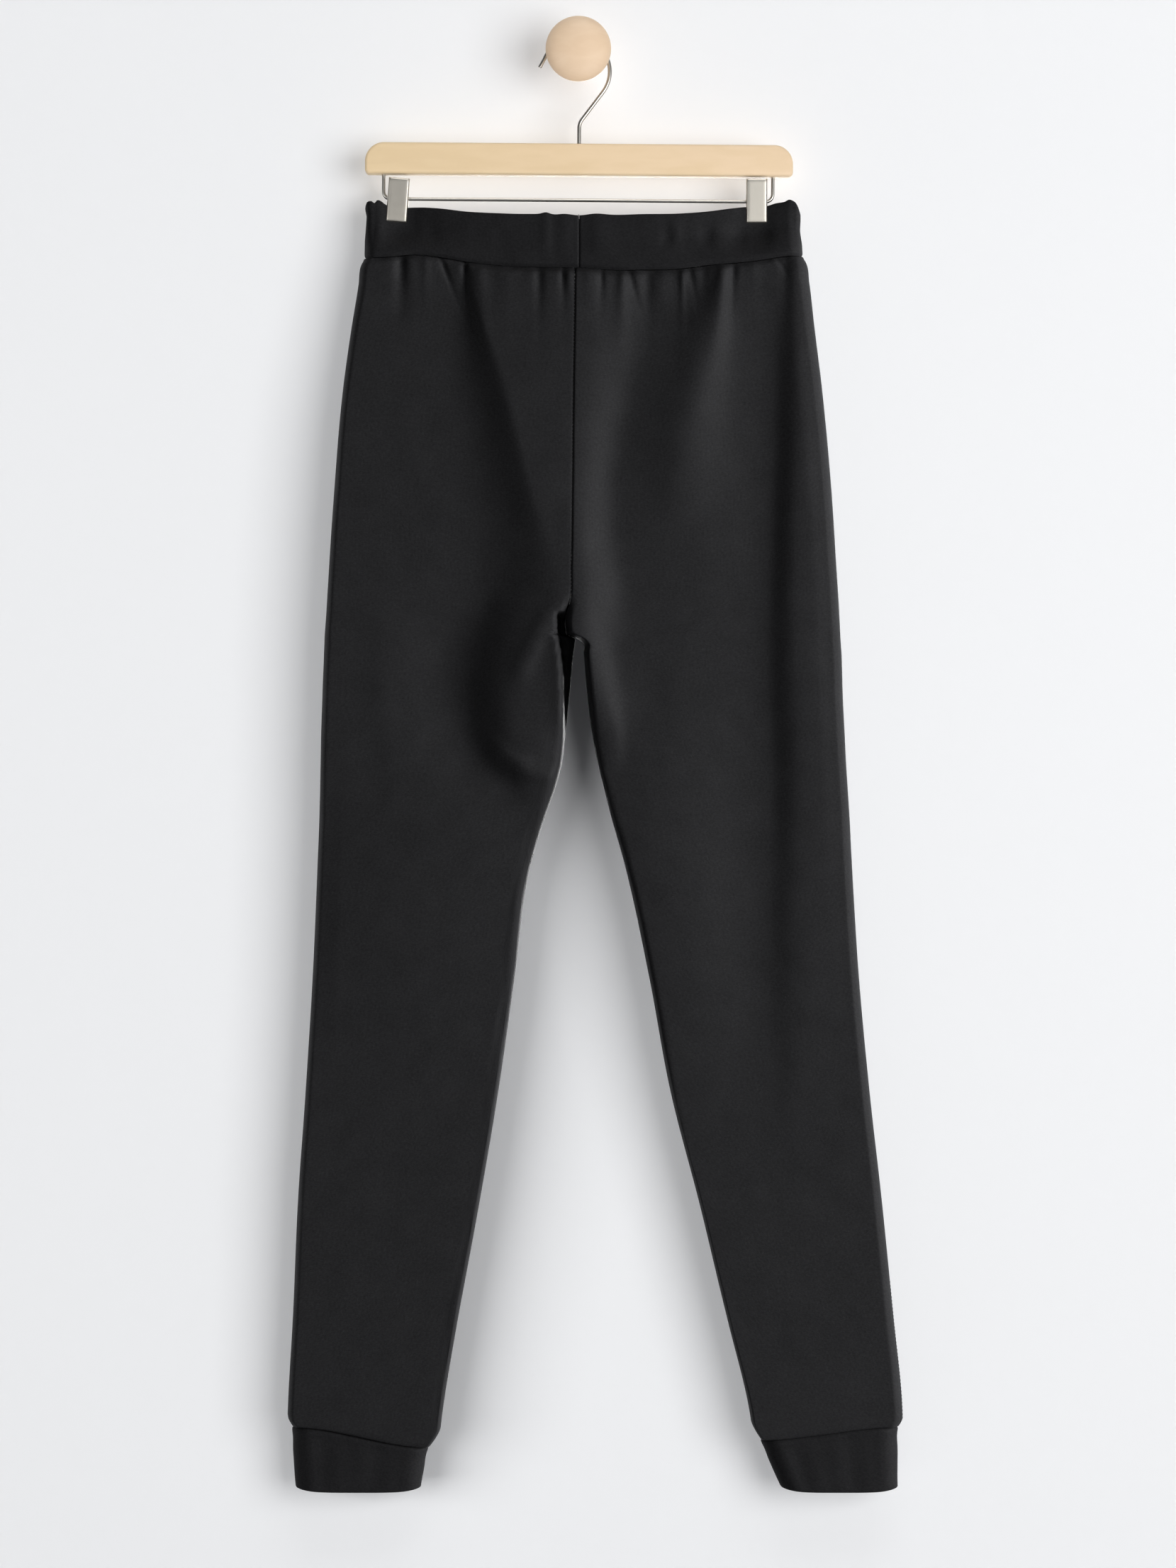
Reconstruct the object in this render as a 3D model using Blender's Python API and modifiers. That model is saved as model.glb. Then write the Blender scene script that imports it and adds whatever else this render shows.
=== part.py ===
"""Black knit sweatpants, hung by the waistband from the two clips of a wooden trouser hanger.

The hanger's hook hangs on a round wooden knob that is fixed to a wall. The back of the garment
faces the viewer, towards -Y, and the wall is the plane y = 0. The origin is the middle of the
knob's flat back. Lengths are metres, and a drop is a distance below the knob's axis.
"""

import math

import bmesh
import bpy
import numpy as np
from mathutils import Matrix

# Cloth and how it is joined
CLOTH = 0.0015
BAND = 0.0030
CUFF = 0.0026
SEAM_GAP = 0.0003
BAND_PROUD = 0.0012
HANG_Y = -0.032

# The two legs, cut as a back and a front panel each, from the waist seam to the cuff seam
PANEL_TOP = 0.1630
HEM = 0.1630 + 0.9255
CROTCH = 0.4630
SEAT_CURVE_TOP = 0.3650
FRONT_CURVE_TOP = 0.3900
SAG_ENDS = 0.3000
HEM_SLANT = {"left": 0.0138, "right": 0.0065}
HEM_SLANT_TOP = 0.9900
TUCK_HEIGHT = 0.0070
TUCK_WIDTH = 0.0034
TUCK_DEPTH = 0.0022

# drop, then where each side seam and inner seam lies, how far the back and the front stand off
# the middle plane, and how far in from the side seam and the inner seam they are rounded
SECTION_COLUMNS = (
    "drop", "left_out", "left_in", "right_in", "right_out", "back", "front", "round_out", "round_in",
)
SECTIONS = (
    (0.160, -0.1698, -0.0028, -0.0028, 0.1780, 0.0130, 0.0110, 0.022, 0.008),
    (0.183, -0.1736, -0.0029, -0.0029, 0.1826, 0.0160, 0.0130, 0.026, 0.008),
    (0.217, -0.1792, -0.0033, -0.0033, 0.1865, 0.0210, 0.0160, 0.031, 0.008),
    (0.262, -0.1854, -0.0039, -0.0039, 0.1921, 0.0260, 0.0190, 0.036, 0.008),
    (0.351, -0.1932, -0.0047, -0.0047, 0.2003, 0.0320, 0.0225, 0.040, 0.008),
    (0.441, -0.1990, -0.0058, -0.0058, 0.2061, 0.0330, 0.0235, 0.040, 0.010),
    (0.463, -0.2004, -0.0030, -0.0024, 0.2070, 0.0325, 0.0230, 0.040, 0.012),
    (0.475, -0.2008, -0.0040, 0.0034, 0.2078, 0.0320, 0.0225, 0.040, 0.014),
    (0.508, -0.2022, -0.0081, 0.0067, 0.2089, 0.0300, 0.0215, 0.039, 0.019),
    (0.542, -0.2033, -0.0112, 0.0112, 0.2106, 0.0280, 0.0205, 0.038, 0.024),
    (0.564, -0.2037, -0.0132, 0.0157, 0.2117, 0.0270, 0.0200, 0.037, 0.027),
    (0.581, -0.2040, -0.0179, 0.0199, 0.2128, 0.0260, 0.0200, 0.036, 0.029),
    (0.598, -0.2044, -0.0241, 0.0241, 0.2139, 0.0250, 0.0195, 0.036, 0.030),
    (0.642, -0.2061, -0.0375, 0.0364, 0.2162, 0.0230, 0.0190, 0.035, 0.032),
    (0.732, -0.2100, -0.0504, 0.0560, 0.2218, 0.0210, 0.0180, 0.034, 0.032),
    (0.822, -0.2156, -0.0633, 0.0728, 0.2302, 0.0195, 0.0170, 0.032, 0.030),
    (0.911, -0.2218, -0.0784, 0.0958, 0.2402, 0.0180, 0.0160, 0.030, 0.028),
    (1.001, -0.2257, -0.0952, 0.1176, 0.2492, 0.0160, 0.0145, 0.027, 0.026),
    (1.070, -0.2296, -0.1085, 0.1360, 0.2560, 0.0145, 0.0130, 0.024, 0.024),
    (1.110, -0.2306, -0.1120, 0.1400, 0.2568, 0.0140, 0.0125, 0.022, 0.022),
)

# x, the drops of the waistband's top edge and of the waist seam, and how far the two faces
# of the band's top edge stand off the middle plane
BAND_COLUMNS = ("x", "top", "seam", "stand_off")
BAND_EDGES = (
    (-0.1695, 0.1235, 0.1630, 0.0062),
    (-0.1650, 0.1190, 0.1630, 0.0068),
    (-0.1610, 0.1183, 0.1630, 0.0064),
    (-0.1575, 0.1196, 0.1630, 0.0052),
    (-0.1535, 0.1184, 0.1630, 0.0056),
    (-0.1490, 0.1212, 0.1630, 0.0035),
    (-0.1400, 0.1232, 0.1630, 0.0033),
    (-0.1275, 0.1237, 0.1630, 0.0036),
    (-0.1190, 0.1240, 0.1632, 0.0056),
    (-0.0970, 0.1250, 0.1662, 0.0085),
    (-0.0730, 0.1262, 0.1694, 0.0105),
    (-0.0430, 0.1282, 0.1714, 0.0118),
    (-0.0030, 0.1291, 0.1726, 0.0120),
    (0.0470, 0.1289, 0.1736, 0.0120),
    (0.0910, 0.1270, 0.1722, 0.0098),
    (0.1160, 0.1238, 0.1690, 0.0068),
    (0.1310, 0.1226, 0.1678, 0.0036),
    (0.1405, 0.1228, 0.1668, 0.0033),
    (0.1500, 0.1222, 0.1650, 0.0036),
    (0.1555, 0.1200, 0.1640, 0.0050),
    (0.1610, 0.1188, 0.1632, 0.0064),
    (0.1690, 0.1186, 0.1628, 0.0066),
    (0.1745, 0.1212, 0.1626, 0.0062),
    (0.1775, 0.1260, 0.1625, 0.0060),
)
BAND_LEFT = (-0.1690, -0.1686)
BAND_RIGHT = (0.1782, 0.1755)
BAND_ROUND = 0.0065
BAND_ROWS = (0.0, 0.035, 0.22, 0.42, 0.63, 0.965, 1.0)
BAND_SHARES = (
    0.0, 0.0035, 0.014, 0.032, 0.054, 0.08, 0.115, 0.15, 0.185,
    0.225, 0.28, 0.36, 0.46, 0.58, 0.70, 0.84, 1.0,
)
BAND_EDGE_INSET = 0.0009
BAND_CLOSES_EARLY = 1.6

# Gathers under the waist seam: x, half width, how far down they reach, and height off the cloth
GATHER_COLUMNS = ("x", "half_width", "reach", "height")
BACK_GATHERS = (
    (-0.1395, 0.0050, 0.030, -0.0028),
    (-0.1010, 0.0040, 0.026, -0.0018),
    (-0.0885, 0.0055, 0.045, -0.0034),
    (-0.0560, 0.0080, 0.030, 0.0012),
    (-0.0315, 0.0055, 0.026, -0.0020),
    (-0.0125, 0.0036, 0.022, -0.0026),
    (0.0180, 0.0036, 0.020, -0.0028),
    (0.0365, 0.0045, 0.050, 0.0024),
    (0.0435, 0.0040, 0.026, -0.0024),
    (0.0550, 0.0050, 0.034, -0.0022),
    (0.0820, 0.0045, 0.034, 0.0018),
    (0.0890, 0.0040, 0.024, -0.0020),
    (0.1170, 0.0055, 0.060, 0.0028),
    (0.1245, 0.0045, 0.030, -0.0022),
    (0.1555, 0.0050, 0.024, -0.0026),
)
FRONT_GATHERS = (
    (-0.1340, 0.0060, 0.030, -0.0024),
    (-0.0960, 0.0060, 0.040, -0.0026),
    (-0.0560, 0.0060, 0.028, -0.0020),
    (0.0240, 0.0060, 0.024, -0.0022),
    (0.0640, 0.0065, 0.040, -0.0026),
    (0.1060, 0.0060, 0.030, -0.0024),
    (0.1480, 0.0060, 0.026, -0.0022),
)

# Long soft folds: start, a point half way and end, each as x and drop, the half width at the
# start and at the end, and the height off the cloth, which is negative for a trough
FOLD_COLUMNS = ("name", "start", "middle", "end", "width_start", "width_end", "height")
BACK_FOLDS = (
    ("seat valley", (-0.0880, 0.168), (-0.0705, 0.275), (-0.0440, 0.410), 0.009, 0.026, -0.0075),
    ("seat swell", (-0.1400, 0.200), (-0.1380, 0.318), (-0.1230, 0.470), 0.034, 0.040, 0.0035),
    ("thigh crescent", (-0.0200, 0.436), (-0.0830, 0.497), (-0.0290, 0.572), 0.013, 0.009, -0.0065),
    ("thigh belly", (-0.0180, 0.455), (-0.0320, 0.500), (-0.0280, 0.545), 0.013, 0.017, 0.0050),
    ("belly ridge", (-0.0230, 0.436), (-0.0370, 0.460), (-0.0450, 0.486), 0.005, 0.007, 0.0018),
    ("ridge under crescent", (-0.0700, 0.545), (-0.0540, 0.566), (-0.0330, 0.578), 0.009, 0.006, 0.0022),
    ("trough under ridge", (-0.0720, 0.594), (-0.0460, 0.589), (-0.0200, 0.578), 0.013, 0.008, -0.0036),
    ("seat ridge", (0.0375, 0.182), (0.0200, 0.318), (0.0125, 0.408), 0.008, 0.012, 0.0052),
    ("inner thigh ridge", (0.0125, 0.408), (0.0190, 0.480), (0.0340, 0.546), 0.012, 0.010, 0.0036),
    ("seat hollow", (0.0520, 0.183), (0.0600, 0.255), (0.0500, 0.390), 0.013, 0.020, -0.0042),
    ("hip ridge", (0.1137, 0.180), (0.1020, 0.250), (0.0990, 0.350), 0.008, 0.015, 0.0034),
    ("hip valley", (0.1600, 0.172), (0.1615, 0.296), (0.1515, 0.440), 0.011, 0.017, -0.0055),
    ("leg valley", (0.1515, 0.440), (0.1520, 0.553), (0.1395, 0.743), 0.017, 0.019, -0.0042),
    ("calf valley", (0.1395, 0.743), (0.1480, 0.833), (0.1650, 0.940), 0.018, 0.016, -0.0022),
    ("leg swell", (0.1250, 0.212), (0.1240, 0.351), (0.1080, 0.530), 0.028, 0.030, 0.0022),
    ("crotch nub", (-0.0010, 0.446), (0.0030, 0.454), (0.0060, 0.461), 0.006, 0.006, 0.0026),
)
FRONT_FOLDS = (
    ("left rise valley", (-0.0960, 0.168), (-0.0800, 0.280), (-0.0500, 0.410), 0.010, 0.024, -0.0050),
    ("left thigh drag", (-0.0250, 0.450), (-0.0600, 0.490), (-0.0700, 0.560), 0.012, 0.016, -0.0036),
    ("left leg ridge", (-0.1400, 0.420), (-0.1450, 0.600), (-0.1500, 0.800), 0.020, 0.020, 0.0024),
    ("right rise valley", (0.0640, 0.168), (0.0560, 0.280), (0.0400, 0.400), 0.010, 0.022, -0.0048),
    ("right thigh drag", (0.0200, 0.455), (0.0560, 0.500), (0.0720, 0.580), 0.012, 0.016, -0.0034),
    ("right leg ridge", (0.1350, 0.400), (0.1480, 0.600), (0.1600, 0.820), 0.020, 0.020, 0.0024),
)
FOLD_STEPS = 24
FOLDS_FROM_SIDE = 0.022
FOLDS_FROM_INNER = 0.016
FOLDS_FROM_WAIST = 0.016
FOLDS_FROM_HEM = 0.030
FOLDS_AT_WAIST = 0.15

# Where each row of a panel's cloth lies, as drops: from, to and spacing
ROW_RUNS = (
    (PANEL_TOP, 0.189, 0.0065),
    (0.189, 0.425, 0.0393),
    (0.425, 0.605, 0.0200),
    (0.605, HEM - TUCK_HEIGHT, 0.0595),
)
HEM_ROWS = (1.0, 0.45, 0.1, 0.0)
GATHERED_COLUMNS = 0.110
GATHER_SPREAD = (-1.2, 0.0, 1.2)
SIDE_SHARES = (0.0, 0.006, 0.024, 0.055, 0.105)
WIDEST_COLUMN = {"back": 0.090, "front": 0.110}
NARROWEST_COLUMN = {"back": 0.021, "front": 0.026}

# Cuffs, as tubes: x of the two sides at the seam and at the bottom fold
CUFF_SIDES = {"left": ((-0.2266, -0.1180), (-0.2234, -0.1246)), "right": ((0.1432, 0.2530), (0.1604, 0.2526))}
CUFF_BOTTOM = 1.1374
CUFF_DEPTH = (0.0122, 0.0098)
CUFF_ROUND = 0.017
CUFF_ROWS = (0.0, 0.05, 0.5, 0.95, 1.0)
CUFF_COLUMNS = 13
CUFF_CORNER_LIFT = 0.0030
CUFF_SEAM_GAP = 0.00045
CUFF_EDGE_INSET = (0.0006, 0.0011)

# Hanger: a wooden bar, a steel hook and a steel rail with two sprung clips
HANGER_TILT = math.radians(0.45)
BAR_WIDTH = 0.3380
BAR_TOP = 0.0728
BAR_HEIGHT = 0.0250
BAR_THICKNESS = 0.0135
BAR_CENTRE_X = 0.0012
BAR_TOP_ROUND = 0.0150
BAR_BOTTOM_ROUND = 0.0035
BAR_EDGE = 0.0022
ARC_STEPS = 6
WIRE = 0.0033
HOOK_RADIUS = 0.0268
HOOK_CENTRE_X = -0.0018
HOOK_END = 158
HOOK_TIP = (0.0036, 0.0068)
STEM_X = 0.0011
STEM_TOP = 0.0600
SWING_RADIUS = 0.0117
SWING_TURN = 38
HOOK_DEEP = 0.0120
RAIL_WIRE = 0.0028
RAIL_X = (-0.1499, 0.1546)
RAIL_DROP = 0.1170
RAIL_BEND = 0.0040
RAIL_STRAIGHT_FROM = 0.0096
RAIL_DEEP = 0.0100
HOLE_CLEARANCE = 0.0003
CLIP_WIDTH = 0.0166
CLIP_SHEET = 0.0010
CLIP_HALF_HEIGHT = 0.0172
CLIPS = {"left": (-0.1378, 0.1176, math.radians(4.6)), "right": (0.1408, 0.1184, 0.0)}
CLIP_GRIP = 0.0042
CLIP_SPLAY = 0.0095
CLIP_LIP = 0.0016
CLIP_FLANGE = 0.0040
CLIP_EAR = 0.0030
CLIP_EAR_LOW = 0.0032
CLIP_EAR_HIGH = 0.0060

# Knob: a turned head on a neck, about the Y axis. Distance off the wall, and radius
NECK_RADIUS = 0.0095
KNOB_RADIUS = 0.0258
KNOB_PROFILE = (
    (0.0, 0.0), (0.0, NECK_RADIUS), (0.0385, NECK_RADIUS), (0.0410, 0.0125), (0.0420, 0.0180),
    (0.0430, 0.0232), (0.0450, 0.0252), (0.0475, KNOB_RADIUS), (0.0505, 0.0251), (0.0535, 0.0225),
    (0.0560, 0.0180), (0.0578, 0.0120), (0.0587, 0.0060), (0.0590, 0.0),
)
KNOB_STEPS = 24


def column(rows, names, name):
    """One named column of a table, as an array."""
    return np.array([row[names.index(name)] for row in rows], float)


def through(x, xs, ys):
    """A smooth curve through the points (xs, ys), read at x. It is level past both ends."""
    slopes = np.gradient(ys, xs)
    i = np.clip(np.searchsorted(xs, x) - 1, 0, len(xs) - 2)
    span = xs[i + 1] - xs[i]
    t = np.clip((x - xs[i]) / span, 0.0, 1.0)
    rise = ys[i + 1] - ys[i]
    curve = t * (1 - t) * ((1 - t) * (slopes[i] * span - rise) - t * (slopes[i + 1] * span - rise))
    return ys[i] + rise * t + curve


def section(name, drop):
    """A column of the sections' table at a drop."""
    return through(drop, column(SECTIONS, SECTION_COLUMNS, "drop"), column(SECTIONS, SECTION_COLUMNS, name))


def inner_seam(side, drop):
    """x of a leg's inner edge: the centre seam above the crotch, and its inner seam below."""
    own, both = section(side + "_in", drop), (section("left_in", drop) + section("right_in", drop)) / 2
    return np.minimum(own, both) if side == "left" else np.maximum(own, both)


def band_edge(name, x):
    """A column of the waistband's table at x."""
    return through(x, column(BAND_EDGES, BAND_COLUMNS, "x"), column(BAND_EDGES, BAND_COLUMNS, name))


def ease(t):
    """Runs smoothly from 0 to 1 as t does."""
    t = np.clip(t, 0.0, 1.0)
    return t * t * (3 - 2 * t)


def rounded(distance, radius):
    """An edge rounded like a quarter of an ellipse: 0 at the edge, 1 from radius inwards."""
    q = np.clip(distance / radius, 0.0, 1.0)
    return np.sqrt(np.clip(1 - (1 - q) ** 2, 0.0, 1.0))


def fold_height(folds, x, drop):
    """The height of the long folds at x and drop."""
    height = np.zeros(np.broadcast(x, drop).shape)
    for row in folds:
        fold = dict(zip(FOLD_COLUMNS, row))
        start, middle, end = (np.array(fold[k]) for k in ("start", "middle", "end"))
        handle = 2 * middle - (start + end) / 2
        t = np.linspace(0.0, 1.0, FOLD_STEPS)
        line = np.outer((1 - t) ** 2, start) + np.outer(2 * t * (1 - t), handle) + np.outer(t**2, end)
        away = (x[..., None] - line[:, 0]) ** 2 + (drop[..., None] - line[:, 1]) ** 2
        width = fold["width_start"] + (fold["width_end"] - fold["width_start"]) * t
        height = height + fold["height"] * np.exp(-away / width**2).max(axis=-1)
    return height


def gather_height(gathers, x, below_seam):
    """The height of the gathers at x, at a distance below the waist seam."""
    height = np.zeros(np.broadcast(x, below_seam).shape)
    for row in gathers:
        gather = dict(zip(GATHER_COLUMNS, row))
        across = np.exp(-(((x - gather["x"]) / gather["half_width"]) ** 2))
        fading = np.exp(-((np.maximum(below_seam, 0.0) / gather["reach"]) ** 1.5))
        height = height + gather["height"] * across * fading
    return height


def seat_pull(face, drop):
    """How far the inner seam is drawn in to the middle plane: 0 at the hips, 1 from the crotch down."""
    top = SEAT_CURVE_TOP if face == "back" else FRONT_CURVE_TOP
    return np.clip((drop - top) / (CROTCH - top), 0.0, 1.0) ** 2


def panel_surface(side, face, share, drop):
    """The outer surface of a panel. share runs from the side seam, 0, to the inner seam, 1."""
    outer, inner = section(side + "_out", drop), inner_seam(side, drop)
    stand_off = section(face, drop)
    tuck = 1 - rounded(HEM - drop, TUCK_HEIGHT)
    inward = np.sign(inner - outer)
    outer = outer + inward * TUCK_WIDTH * tuck
    inner = inner - inward * (TUCK_WIDTH * tuck + SEAM_GAP / 2)
    x = outer + (inner - outer) * share
    from_side, from_inner = np.abs(x - outer), np.abs(inner - x)
    pull = seat_pull(face, drop)
    across = rounded(from_side, section("round_out", drop))
    across = across * (1 - pull * (1 - rounded(from_inner, section("round_in", drop))))
    free = ease(from_side / FOLDS_FROM_SIDE) * (1 - pull * (1 - ease(from_inner / FOLDS_FROM_INNER)))
    folds = BACK_FOLDS if face == "back" else FRONT_FOLDS
    gathers = BACK_GATHERS if face == "back" else FRONT_GATHERS
    lift = fold_height(folds, x, drop) + gather_height(gathers, x, drop - PANEL_TOP)
    near_seams = ease((drop - PANEL_TOP) / FOLDS_FROM_WAIST + FOLDS_AT_WAIST) * ease((HEM - drop) / FOLDS_FROM_HEM)
    off = SEAM_GAP / 2 + (stand_off - TUCK_DEPTH * tuck) * across + lift * free * near_seams
    y = HANG_Y + (-off if face == "back" else off)
    sag = (band_edge("seam", x) - PANEL_TOP) * (1 - ease((drop - PANEL_TOP) / (SAG_ENDS - PANEL_TOP)))
    slant = HEM_SLANT[side] * ease(share) * ease((drop - HEM_SLANT_TOP) / (HEM - HEM_SLANT_TOP))
    return np.stack([x, y, -(drop + sag + slant + SEAM_GAP / 2)], axis=-1)


def waist_columns(side, face):
    """The shares at which a panel's columns start at the waist, closest at the gathers."""
    outer, inner = section(side + "_out", PANEL_TOP), inner_seam(side, PANEL_TOP)
    wanted = list(SIDE_SHARES)
    for row in BACK_GATHERS if face == "back" else FRONT_GATHERS:
        gather = dict(zip(GATHER_COLUMNS, row))
        places = [gather["x"] + k * gather["half_width"] for k in GATHER_SPREAD]
        wanted += [(x - outer) / (inner - outer) for x in places]
    kept = [0.0]
    narrowest = NARROWEST_COLUMN[face]
    for share in sorted(s for s in wanted if 0 < s < 1 - narrowest):
        near = SIDE_SHARES[1] / 2 if share <= SIDE_SHARES[-1] else narrowest
        if share - kept[-1] > near:
            kept.append(float(share))
    kept.append(1.0)
    widest = WIDEST_COLUMN[face]
    full = [kept[0]]
    for share in kept[1:]:
        parts = max(1, math.ceil((share - full[-1]) / widest))
        full += [full[-1] + (share - full[-1]) * (i + 1) / parts for i in range(parts)]
    return np.array(full)


def panel_rows():
    """The drops of a panel's rows, from the waist seam to the cuff seam."""
    rows = []
    for start, end, spacing in ROW_RUNS:
        count = max(1, round((end - start) / spacing))
        rows += [start + (end - start) * i / count for i in range(count)]
    return np.array(rows + [HEM - up * TUCK_HEIGHT for up in HEM_ROWS])


def inward_normals(surface, across, along):
    """Unit normals of surface(across, along), pointing to the garment's middle plane."""
    tiny = 1e-6
    low, high = np.clip(across - tiny, 0, 1), np.clip(across + tiny, 0, 1)
    d_across = surface(high, along) - surface(low, along)
    d_along = surface(across, along + tiny) - surface(across, along - tiny)
    normal = np.cross(d_across, d_along)
    normal = normal / np.linalg.norm(normal, axis=-1, keepdims=True)
    return normal


def facing_in(normal, points, middle_x):
    """Turns normals over, where needed, so that they all point from the wall to the hollow."""
    middle = points.shape[0] // 2, points.shape[1] // 2
    hollow = np.array([middle_x, HANG_Y, points[middle][2]])
    return -normal if np.dot(normal[middle], hollow - points[middle]) < 0 else normal


def material(name, colour, roughness, metallic=0.0):
    """A plain finish."""
    made = bpy.data.materials.get(name) or bpy.data.materials.new(name)
    made.use_nodes = True
    shader = made.node_tree.nodes["Principled BSDF"]
    shader.inputs["Base Color"].default_value = (*colour, 1.0)
    shader.inputs["Roughness"].default_value = roughness
    shader.inputs["Metallic"].default_value = metallic
    return made


def add_object(name, mesh, finish, smooth=True):
    """Puts a mesh in the scene as one named piece."""
    piece = bpy.data.objects.new(name, mesh)
    bpy.data.collections["sweatpants"].objects.link(piece)
    mesh.materials.append(finish)
    if smooth:
        mesh.shade_smooth()
        mesh.set_sharp_from_angle(angle=math.radians(45))
    return piece


def wall(name, outer, inner, finish, closed_round=False):
    """A wall of cloth between two grids of points, closed along its edges by their rims."""
    rows, columns = outer.shape[:2]
    points = np.concatenate([outer.reshape(-1, 3), inner.reshape(-1, 3)])
    inner_start = rows * columns

    def at(row, col, layer):
        return layer * inner_start + row * columns + col % columns

    faces = []
    spans = columns if closed_round else columns - 1
    for row in range(rows - 1):
        for col in range(spans):
            for layer in (0, 1):
                left, right = (at(row, c, layer) for c in (col, col + 1))
                low_left, low_right = (at(row + 1, c, layer) for c in (col, col + 1))
                quad = [left, low_left, low_right, right]
                faces.append(quad if layer == 0 else quad[::-1])
    last = rows - 1
    for col in range(spans):
        faces.append([at(0, col, 0), at(0, col + 1, 0), at(0, col + 1, 1), at(0, col, 1)])
        faces.append([at(last, col, 0), at(last, col, 1), at(last, col + 1, 1), at(last, col + 1, 0)])
    if not closed_round:
        for row in range(rows - 1):
            faces.append([at(row, 0, 0), at(row, 0, 1), at(row + 1, 0, 1), at(row + 1, 0, 0)])
            faces.append([at(row, -1, 0), at(row + 1, -1, 0), at(row + 1, -1, 1), at(row, -1, 1)])
    mesh = bpy.data.meshes.new(name)
    mesh.from_pydata([tuple(p) for p in points], [], faces)
    shape = bmesh.new()
    shape.from_mesh(mesh)
    bmesh.ops.recalc_face_normals(shape, faces=shape.faces)
    shape.to_mesh(mesh)
    shape.free()
    return add_object(name, mesh, finish)


def make_panel(side, face, finish):
    """A back or front panel of one leg, from the waist seam to the cuff seam."""
    at_waist = waist_columns(side, face)
    even = np.linspace(0.0, 1.0, len(at_waist))
    drops = panel_rows()
    pull = seat_pull(face, drops)[:, None]
    angle = math.pi * (1 + pull) / 2
    legs = (1 - np.cos(angle * even)) / (1 - np.cos(angle))
    gathered = 1 - ease((drops - PANEL_TOP) / GATHERED_COLUMNS)[:, None]
    shares = gathered * at_waist + (1 - gathered) * legs
    down = np.repeat(drops[:, None], len(even), axis=1)

    def surface(share, drop):
        return panel_surface(side, face, share, drop)

    outer = surface(shares, down)
    normal = facing_in(inward_normals(surface, shares, down), outer, float(outer[..., 0].mean()))
    normal[:, 0, 1] = 0.0
    normal[:, -1, 0] = normal[:, -1, 0].clip(max=0.0) if side == "left" else normal[:, -1, 0].clip(min=0.0)
    normal /= np.linalg.norm(normal, axis=-1, keepdims=True)
    inner = outer + CLOTH * normal
    if face == "back":
        inner[..., 1] = np.minimum(inner[..., 1], HANG_Y - SEAM_GAP / 2)
    else:
        inner[..., 1] = np.maximum(inner[..., 1], HANG_Y + SEAM_GAP / 2)
    inner[0, :, 2] = outer[0, :, 2]
    inner[-1, :, 2] = outer[-1, :, 2]
    return wall(f"{face}_{side}", outer, inner, finish)


def band_surface(side, face, share, height):
    """The outer surface of the waistband. share runs from the end, 0, to the centre seam, 1."""
    low, high = BAND_LEFT if side == "left" else BAND_RIGHT
    end = low + (high - low) * height
    centre = section("left_in", PANEL_TOP) + (-SEAM_GAP / 2 if side == "left" else SEAM_GAP / 2)
    x = end + (centre - end) * share
    from_end = np.abs(x - end)
    at_seam = section(face, PANEL_TOP) * rounded(from_end, section("round_out", PANEL_TOP)) + BAND_PROUD
    at_seam = at_seam * rounded(from_end, BAND_ROUND)
    at_top = band_edge("stand_off", x) * rounded(from_end, BAND_ROUND)
    off = at_seam + (at_top - at_seam) * ease(height * BAND_CLOSES_EARLY)
    y = HANG_Y + (-off if face == "back" else off)
    seam, top = band_edge("seam", x), band_edge("top", x)
    return np.stack([x, y, -(seam + (top - seam) * height - SEAM_GAP / 2)], axis=-1)


def make_waistband(finish):
    """The waistband: one strip that runs round the waist and meets itself at the centre back."""
    round_the_waist = (
        [("left", "back", s) for s in BAND_SHARES[::-1]]
        + [("left", "front", s) for s in BAND_SHARES[1:]]
        + [("right", "front", s) for s in BAND_SHARES[-2::-1]]
        + [("right", "back", s) for s in BAND_SHARES[1:]]
    )
    outer, inner = [], []
    for side, face, share in round_the_waist:
        heights = np.array(BAND_ROWS)
        shares = np.full(len(heights), share)

        def surface(across, up):
            return band_surface(side, face, across, up)

        points = surface(shares, heights)
        normal = inward_normals(surface, shares, heights)
        normal[:, 2] = 0.0
        normal /= np.linalg.norm(normal, axis=1, keepdims=True)
        towards = np.array([-1.0 if side == "right" else 1.0, 1.0 if face == "back" else -1.0, 0.0])
        normal *= np.sign(normal @ towards)[:, None]
        inset = np.where((heights == 0) | (heights == 1), BAND_EDGE_INSET, 0.0)[:, None]
        outer.append(points + inset * normal)
        inner.append(points + (BAND - inset) * normal)
    outer, inner = (np.stack(grid, axis=1) for grid in (outer, inner))
    return wall("waistband", outer, inner, finish)


def cuff_surface(side, face, share, down):
    """The outer surface of a cuff. share runs across the leg, and down from the seam to the fold."""
    (top_low, top_high), (low_low, low_high) = CUFF_SIDES[side]
    left = top_low + (low_low - top_low) * down
    right = top_high + (low_high - top_high) * down
    x = left + (right - left) * share
    depth = CUFF_DEPTH[0] + (CUFF_DEPTH[1] - CUFF_DEPTH[0]) * down
    off = depth * rounded(np.abs(x - left), CUFF_ROUND) * rounded(np.abs(right - x), CUFF_ROUND)
    y = HANG_Y + (-off if face == "back" else off)
    inner_share = share if side == "left" else 1 - share
    seam = HEM + HEM_SLANT[side] * ease(inner_share) + CUFF_SEAM_GAP
    bottom = CUFF_BOTTOM - CUFF_CORNER_LIFT * np.abs(2 * share - 1) ** 4
    return np.stack([x, y, -(seam + (bottom - seam) * down)], axis=-1)


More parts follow.
